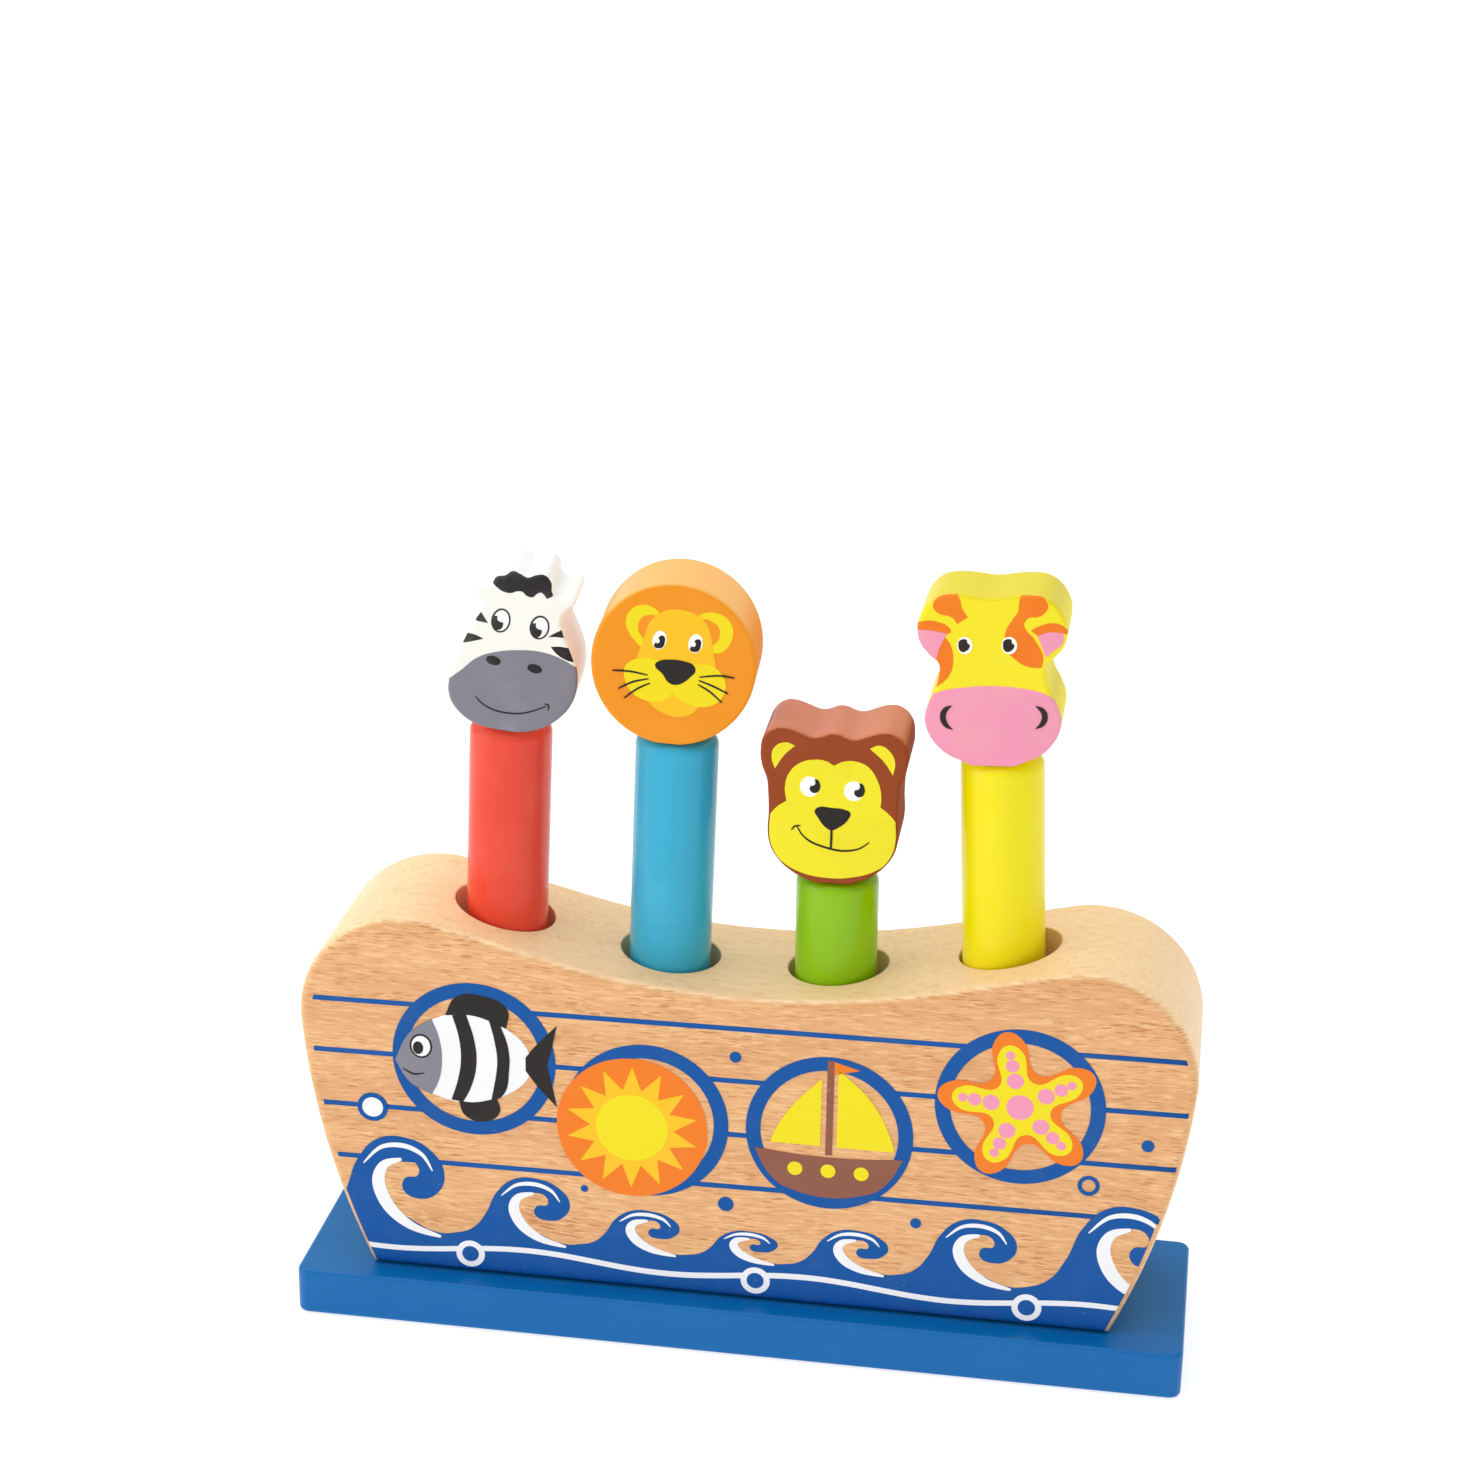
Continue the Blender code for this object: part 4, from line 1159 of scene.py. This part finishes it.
zebra_rims = [oval(-4.1, 27.2, 2.25, 3.0, -6), oval(5.0, 26.9, 2.3, 2.95, -6)]
zebra_lines = [
    oval(-4.8, 17.2, 1.75, 1.1, -8), oval(5.0, 16.7, 1.75, 1.1, -8),
    stroke([(-8.0, 7.7), (-6.1, 6.1), (-2.7, 4.9), (1.8, 4.9), (5.3, 6.0), (8.8, 7.9)], 0.42, 0.6),
    stroke([(8.2, 8.4), (9.2, 8.2), (9.3, 6.9)], 0.4, 0.6),
]
zebra_eyes = [oval(-4.05, 27.2, 1.8, 2.55, -6), oval(5.05, 26.9, 1.85, 2.5, -6)]
ZEBRA_PUPIL = [(-6.1, 27.4), (-5.7, 28.1), (-5.0, 28.2), (-4.9, 27.3), (-4.3, 26.9), (-3.5, 26.8),
               (-3.5, 25.9), (-4.1, 25.0), (-5.0, 24.9), (-5.8, 25.7)]
zebra_paint = head_paint("zebra", ZEBRA_WHITE, (244, 242, 232), (247, 248, 246), 0.31)
head("zebra", zebra_points, 4.95, 5.13, zebra_paint)
for zebra_mark in (
        ("muzzle", ZEBRA_GREY_INK, 1, 0.75, [zebra_muzzle]),
        ("mane", ZEBRA_BLACK_INK, 1, 0.9, [zebra_mane]),
        ("stripe", ZEBRA_BLACK_INK, 1, 0.3, zebra_stripes),
        ("rim", ZEBRA_BLACK_INK, 1, 0.1, zebra_rims),
        ("line", ZEBRA_BLACK_INK, 2, 0.1, zebra_lines),
        ("eye", ZEBRA_EYE_INK, 2, 0.1, zebra_eyes),
        ("pupil", ZEBRA_BLACK_INK, 3, 0.1, pair(ZEBRA_PUPIL, 9.1, -0.4, 2, 5))):
    head_print("zebra", *zebra_mark)

# Lion head: a disc painted orange, flat where it sits on its shaft. The print is an amber face with yellow
# cheeks and ears, white eyes, and a black nose, pupils and whiskers.
LION_ORANGE = (244, 150, 34)
LION_FACE_INK = ink("lion_face_ink", (252, 196, 36), 0.61, LION_ORANGE, 0.0)
LION_CHEEK_INK = ink("lion_cheek_ink", (243, 222, 28), 0.62, LION_ORANGE, 0.0)
LION_EAR_HOLE_INK = ink("lion_ear_hole_ink", LION_ORANGE, 0.63, LION_ORANGE, 0.0)
LION_WHITE_INK = ink("lion_white_ink", (253, 253, 253), 0.64, (250, 240, 220), 0.0)
LION_BLACK_INK = ink("lion_black_ink", (42, 38, 38), 0.65, (80, 70, 66), 0.12)
lion_radius, lion_narrowing, lion_shift = 19.9, 0.965, -1.25
lion_seat_cut, lion_seat_end, lion_steps = 0.2, math.radians(81.9), 120
lion_middle = Vector((0.0, lion_radius - lion_seat_cut))
lion_round = arc(lion_middle, lion_radius, -lion_seat_end, math.pi + lion_seat_end, lion_steps)
lion_points = [(lion_shift + x * lion_narrowing, z) for x, z in lion_round]
lion_points.append((lion_shift - lion_radius * lion_narrowing * math.cos(lion_seat_end), 0.0))
lion_ears = [
    smooth([(-7.9, 22.6), (-10.3, 24.7), (-12.0, 26.9), (-12.8, 29.4), (-11.8, 32.2), (-9.2, 33.7),
            (-6.3, 33.1), (-4.6, 31.4), (-5.4, 26.0)], (0, 7)),
    smooth([(2.6, 31.6), (5.4, 33.2), (8.4, 33.3), (10.8, 32.0), (12.0, 29.5), (11.5, 26.3), (9.7, 24.0),
            (7.2, 23.6), (4.4, 26.0)], (0, 7)),
]
lion_ear_holes = [
    smooth([(-7.3, 25.2), (-9.2, 26.4), (-9.9, 28.6), (-9.0, 30.7), (-7.2, 31.4), (-5.2, 30.9),
            (-5.0, 27.0)]),
    smooth([(6.6, 25.4), (8.3, 26.2), (9.0, 28.0), (8.6, 30.0), (7.0, 31.2), (5.0, 31.5), (4.4, 28.0)]),
]
lion_face = smooth(
    [(-1.3, 33.4), (1.5, 33.2), (3.9, 32.3), (5.7, 30.7), (6.9, 28.0), (7.7, 24.2), (8.4, 21.4), (8.6, 18.0),
     (7.4, 13.4), (5.4, 10.2), (3.4, 8.1), (0.4, 7.2), (-3.2, 8.0), (-6.3, 10.1), (-8.6, 13.4), (-9.9, 18.0),
     (-9.7, 21.3), (-8.8, 23.9), (-8.1, 26.8), (-7.4, 29.4), (-6.2, 31.1), (-3.9, 32.8)])
lion_cheeks = smooth(
    [(-1.0, 13.0), (-1.9, 11.7), (-4.4, 10.5), (-8.0, 10.8), (-10.7, 12.5), (-12.2, 15.2), (-12.4, 18.2),
     (-11.0, 19.9), (-8.6, 20.8), (-5.9, 20.9), (-3.0, 19.8), (-1.0, 18.6), (1.4, 19.4), (4.4, 20.6),
     (8.2, 20.3), (10.3, 18.4), (11.2, 16.4), (10.8, 13.5), (9.1, 11.3), (5.7, 10.2), (2.3, 10.8),
     (0.1, 12.0)], (0,))
lion_eyes = [oval(-4.75, 25.6, 1.6, 2.3, -8), oval(3.6, 25.6, 1.65, 2.3, -8)]
LION_PUPIL = [(-5.9, 24.0), (-5.7, 24.9), (-4.9, 24.9), (-4.7, 25.6), (-5.0, 26.2), (-4.4, 26.8),
              (-3.7, 26.6), (-3.5, 25.2), (-3.9, 24.0), (-4.7, 23.6)]
lion_nose = smooth([(-5.4, 19.5), (-4.5, 20.5), (-1.8, 21.1), (1.2, 21.0), (3.5, 20.2), (4.0, 18.9),
                    (2.9, 17.3), (1.5, 15.9), (-0.2, 15.1), (-1.9, 15.4), (-3.6, 17.5)])
lion_whiskers = [
    [(-15.2, 17.1), (-11.1, 17.3), (-7.0, 16.8)], [(-13.6, 12.8), (-10.3, 14.8), (-6.7, 15.9)],
    [(-12.1, 10.6), (-9.2, 13.2), (-6.3, 14.9)], [(13.1, 18.1), (9.3, 18.3), (5.0, 17.5)],
    [(11.9, 14.1), (8.4, 15.6), (4.9, 16.7)], [(10.6, 11.8), (7.8, 14.1), (4.8, 15.7)],
]
lion_blacks = pair(LION_PUPIL, 8.35, -0.05, 1, 5) + [lion_nose]
lion_paint = head_paint("lion", (242, 148, 14), (246, 158, 44), (252, 190, 104), 0.43, sawn=0.4)
head("lion", lion_points, 3.69, 1.71, lion_paint, curved=False)
for lion_mark in (
        ("ear", LION_CHEEK_INK, 1, 0.1, lion_ears),
        ("ear_hole", LION_EAR_HOLE_INK, 2, 0.1, lion_ear_holes),
        ("face", LION_FACE_INK, 3, 0.1, [lion_face]),
        ("cheek", LION_CHEEK_INK, 4, 0.1, [lion_cheeks]),
        ("eye", LION_WHITE_INK, 5, 0.1, lion_eyes),
        ("pupil", LION_BLACK_INK, 6, 0.1, lion_blacks),
        ("whisker", LION_BLACK_INK, 6, 0.1, [stroke(line, 0.44, 0.6) for line in lion_whiskers])):
    head_print("lion", *lion_mark)

# Monkey head: painted brown, with two round ears and a small tuft between them. The print is a yellow face
# and ears, white eyes, and a black nose, pupils and mouth.
MONKEY_BROWN = (148, 62, 10)
MONKEY_FACE_INK = ink("monkey_face_ink", (243, 230, 44), 0.71, MONKEY_BROWN, 0.0)
MONKEY_WHITE_INK = ink("monkey_white_ink", (253, 253, 253), 0.72, (245, 240, 200), 0.0)
MONKEY_BLACK_INK = ink("monkey_black_ink", (42, 38, 34), 0.73, (90, 80, 50), 0.04)
monkey_points = outline_of(
    [(0.20, 0.0), (0.36, 0.021), (0.55, 0.064), (0.72, 0.129), (0.85, 0.221), (0.89, 0.321), (0.88, 0.437),
     (0.89, 0.566), (0.91, 0.656), (0.98, 0.746), (1.0, 0.835), (0.95, 0.933), (0.79, 0.995), (0.65, 1.0),
     (0.47, 0.977), (0.35, 0.956), (0.26, 0.949), (0.15, 0.961), (0.06, 0.977)],
    width=34.4, height=38.9, shift=-0.516, mirror=True)
monkey_face = [
    smooth([(-0.5, 29.9), (-2.2, 30.9), (-5.2, 31.1), (-8.4, 30.1), (-10.8, 27.6), (-11.8, 24.0),
            (-11.4, 20.5), (-13.9, 18.6), (-15.4, 16.3), (-15.9, 12.5), (-15.0, 8.4), (-12.4, 5.3),
            (-8.0, 2.8), (-1.7, 1.7), (4.3, 2.2), (10.0, 4.3), (13.2, 7.1), (14.9, 10.4), (15.3, 13.9),
            (14.1, 16.8), (12.6, 18.6), (10.6, 20.2), (10.7, 23.2), (9.7, 26.9), (7.6, 30.0), (4.9, 31.2),
            (2.0, 31.1)], (0, 6, 21)),
    smooth([(-14.2, 28.4), (-15.0, 31.1), (-14.4, 33.6), (-11.8, 35.0), (-9.6, 34.3), (-12.0, 31.9)], (0, 4)),
    smooth([(7.8, 34.6), (10.1, 35.5), (12.5, 34.1), (13.7, 31.6), (13.3, 28.3), (11.1, 31.6)], (0, 4)),
]
monkey_eyes = [oval(-6.0, 24.4, 2.3, 2.5), oval(4.3, 23.9, 2.3, 2.45)]
MONKEY_PUPIL = [(-4.9, 26.3), (-4.2, 26.2), (-3.6, 25.2), (-3.6, 24.0), (-4.3, 23.0), (-5.4, 23.0),
                (-6.0, 23.9), (-5.8, 24.6), (-5.0, 24.8), (-4.7, 25.4)]
monkey_blacks = pair(MONKEY_PUPIL, 10.4, -0.4, 0, 7) + [
    smooth([(-4.7, 18.4), (-4.0, 19.3), (-0.8, 19.4), (2.4, 19.1), (3.6, 18.4), (3.3, 17.0), (0.7, 14.4),
            (-0.7, 13.8), (-1.9, 14.3), (-4.0, 16.9)]),
    stroke([(-8.8, 14.3), (-7.5, 12.2), (-5.1, 10.4), (-0.8, 9.1), (2.4, 8.8), (5.7, 9.5), (8.2, 11.3)],
           0.5, 0.5),
]
monkey_ticks = [
    stroke([(-10.1, 13.3), (-9.3, 14.3), (-8.0, 14.5)], 0.4, 0.5),
    stroke([(-0.7, 14.6), (-0.7, 12.0), (-0.8, 9.0)], 0.55, 0.8),
]
monkey_paint = head_paint("monkey", MONKEY_BROWN, (160, 72, 24), (213, 133, 98), 0.57, 0.4, sawn=0.5)
head("monkey", monkey_points, 0.99, 0.0, monkey_paint)
for monkey_mark in (
        ("face", MONKEY_FACE_INK, 1, 0.12, monkey_face),
        ("eye", MONKEY_WHITE_INK, 2, 0.1, monkey_eyes),
        ("black", MONKEY_BLACK_INK, 3, 0.1, monkey_blacks),
        ("tick", MONKEY_BLACK_INK, 4, 0.1, monkey_ticks)):
    head_print("monkey", *monkey_mark)

# Giraffe head: painted yellow, narrow at the cheeks and wide at the ears. The print is a pink muzzle and
# ears, orange horns and patches, white eye rims, and black pupils and nostrils.
GIRAFFE_YELLOW = (245, 228, 28)
GIRAFFE_PINK_INK = ink("giraffe_pink_ink", (242, 155, 183), 0.81, GIRAFFE_YELLOW, 0.0)
GIRAFFE_ORANGE_INK = ink("giraffe_orange_ink", (241, 124, 32), 0.82, GIRAFFE_YELLOW, 0.0)
GIRAFFE_WHITE_INK = ink("giraffe_white_ink", (253, 253, 250), 0.83, GIRAFFE_YELLOW, 0.0)
GIRAFFE_BLACK_INK = ink("giraffe_black_ink", (48, 36, 38), 0.84, (90, 60, 60), 0.04)
giraffe_points = outline_of(
    [(0.25, 0.0), (0.44, 0.029), (0.64, 0.07), (0.80, 0.136), (0.90, 0.218), (0.92, 0.286), (0.86, 0.373),
     (0.77, 0.45), (0.72, 0.533), (0.72, 0.596), (0.84, 0.649), (0.95, 0.707), (1.0, 0.785), (0.96, 0.872),
     (0.85, 0.944), (0.69, 0.988), (0.48, 1.0), (0.24, 0.993), (0.07, 0.983)],
    width=34.0, height=41.24, shift=-1.445, mirror=True)
giraffe_muzzle = smooth(
    [(-19, 14), (-16.3, 16.7), (-13.0, 18.3), (-8.2, 19.2), (-2.5, 19.7), (3.3, 19.5), (8.4, 18.7),
     (11.7, 17.4), (13.2, 15.6), (17.5, 9.5), (17.5, -2), (-19, -2)], (0, 9, 10, 11))
giraffe_patches = [
    smooth([(-13.4, 29.4), (-12.3, 31.4), (-10.9, 29.4), (-10.3, 25.8), (-11.0, 22.6), (-12.7, 20.4),
            (-15.6, 18.4), (-15.8, 24.0), (-15.0, 27.4)], (1, 6, 7)),
    smooth([(4.6, 39.2), (4.9, 41.1), (6.6, 41.8), (8.9, 41.6), (10.7, 40.2), (11.2, 38.8), (10.2, 37.1),
            (8.9, 36.4), (6.8, 36.1), (5.8, 34.6), (6.6, 32.8), (7.8, 31.6), (10.1, 26.8), (9.7, 24.3),
            (8.2, 24.3), (6.0, 24.7), (3.9, 26.1), (2.1, 28.0), (1.5, 30.8), (1.6, 32.8), (3.1, 35.6),
            (4.4, 37.6)], (1, 11, 13)),
    smooth([(-14.8, 38.8), (-13.7, 40.5), (-11.3, 41.4), (-9.3, 41.6), (-8.6, 40.0), (-8.2, 38.2),
            (-6.9, 36.1), (-8.2, 35.2), (-9.4, 34.4), (-10.3, 35.8), (-11.4, 36.3),
            (-13.4, 36.8)], (3, 6, 8)),
]
giraffe_ears = [
    smooth([(-19.4, 34.2), (-16.0, 35.1), (-13.7, 34.8), (-11.5, 33.8), (-10.8, 32.6), (-11.7, 32.0),
            (-14.0, 32.6), (-17.0, 32.9), (-19.4, 32.7)], (0, 5, 8)),
    smooth([(7.3, 33.2), (9.4, 34.3), (12.2, 35.0), (14.3, 34.5), (15.6, 33.2), (15.6, 32.4), (12.2, 32.9),
            (8.8, 32.0)], (0, 4, 5, 7)),
]
giraffe_ear_pinks = [
    smooth([(-19.4, 32.7), (-17.0, 32.9), (-14.0, 32.6), (-11.7, 32.0), (-13.1, 29.4), (-14.3, 25.6),
            (-17.4, 25.0), (-19.4, 27.0)], (0, 3, 5, 6, 7)),
    smooth([(8.8, 32.0), (12.2, 32.9), (14.6, 32.6), (14.5, 30.4), (12.6, 28.5), (10.7, 26.9), (9.8, 29.4)],
           (0, 2, 5)),
]
giraffe_eye_rims = [oval(-7.65, 29.35, 1.75, 2.05), oval(2.45, 29.55, 1.75, 2.05)]
GIRAFFE_PUPIL = [(-9.1, 29.4), (-8.9, 30.4), (-7.9, 30.9), (-7.2, 30.7), (-7.1, 30.0), (-6.5, 29.4),
                 (-6.7, 28.7), (-7.3, 28.1), (-8.1, 27.8), (-8.8, 28.2)]
GIRAFFE_NOSTRIL = [(-10.7, 14.9), (-12.6, 14.2), (-13.5, 12.2), (-12.6, 9.8), (-10.6, 8.9), (-11.9, 10.8),
                   (-12.1, 12.7)]
nostril_shift, nostril_rise, nostril_shrink = -2.4, 1.2, 0.94
giraffe_blacks = pair(GIRAFFE_PUPIL, 10.1, 0.2, 4) + [
    smooth(GIRAFFE_NOSTRIL, (0, 4)),
    smooth([(nostril_shift - x, z * nostril_shrink + nostril_rise) for x, z in GIRAFFE_NOSTRIL], (0, 4)),
]
giraffe_paint = head_paint("giraffe", GIRAFFE_YELLOW, (246, 232, 60), (222, 206, 0), 0.69, sawn=0.2)
head("giraffe", giraffe_points, 0.0, 0.0, giraffe_paint)
for giraffe_mark in (
        ("muzzle", GIRAFFE_PINK_INK, 1, 0.6, [giraffe_muzzle]),
        ("patch", GIRAFFE_ORANGE_INK, 1, 0.9, giraffe_patches),
        ("ear", GIRAFFE_ORANGE_INK, 2, 0.8, giraffe_ears),
        ("ear_pink", GIRAFFE_PINK_INK, 3, 0.5, giraffe_ear_pinks),
        ("eye", GIRAFFE_WHITE_INK, 4, 0.1, giraffe_eye_rims),
        ("black", GIRAFFE_BLACK_INK, 5, 0.1, giraffe_blacks)):
    head_print("giraffe", *giraffe_mark)

# Floor: a plain pale sheet that the toy stands on, wider than any view of it. It gives a faint light of its
# own, so that it looks as white as the ground in the photograph.
floor_size = 8.0
floor_drop = 0.0002
floor_mesh = bmesh.new()
bmesh.ops.create_grid(floor_mesh, x_segments=1, y_segments=1, size=floor_size)
floor_sheet = bpy.data.materials.new("pale_sheet")
floor_sheet.use_nodes = True
set_shader(floor_sheet.node_tree, "Principled BSDF", Base_Color=(0.42, 0.42, 0.42, 1.0), Roughness=0.9,
           Emission_Color=WHITE, Emission_Strength=0.72)
floor = piece_of("floor", floor_mesh, floor_sheet)
floor.location.z = -floor_drop
floor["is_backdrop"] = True

corners = [[list(corner) for corner in box] for box in (cad_box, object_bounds())]
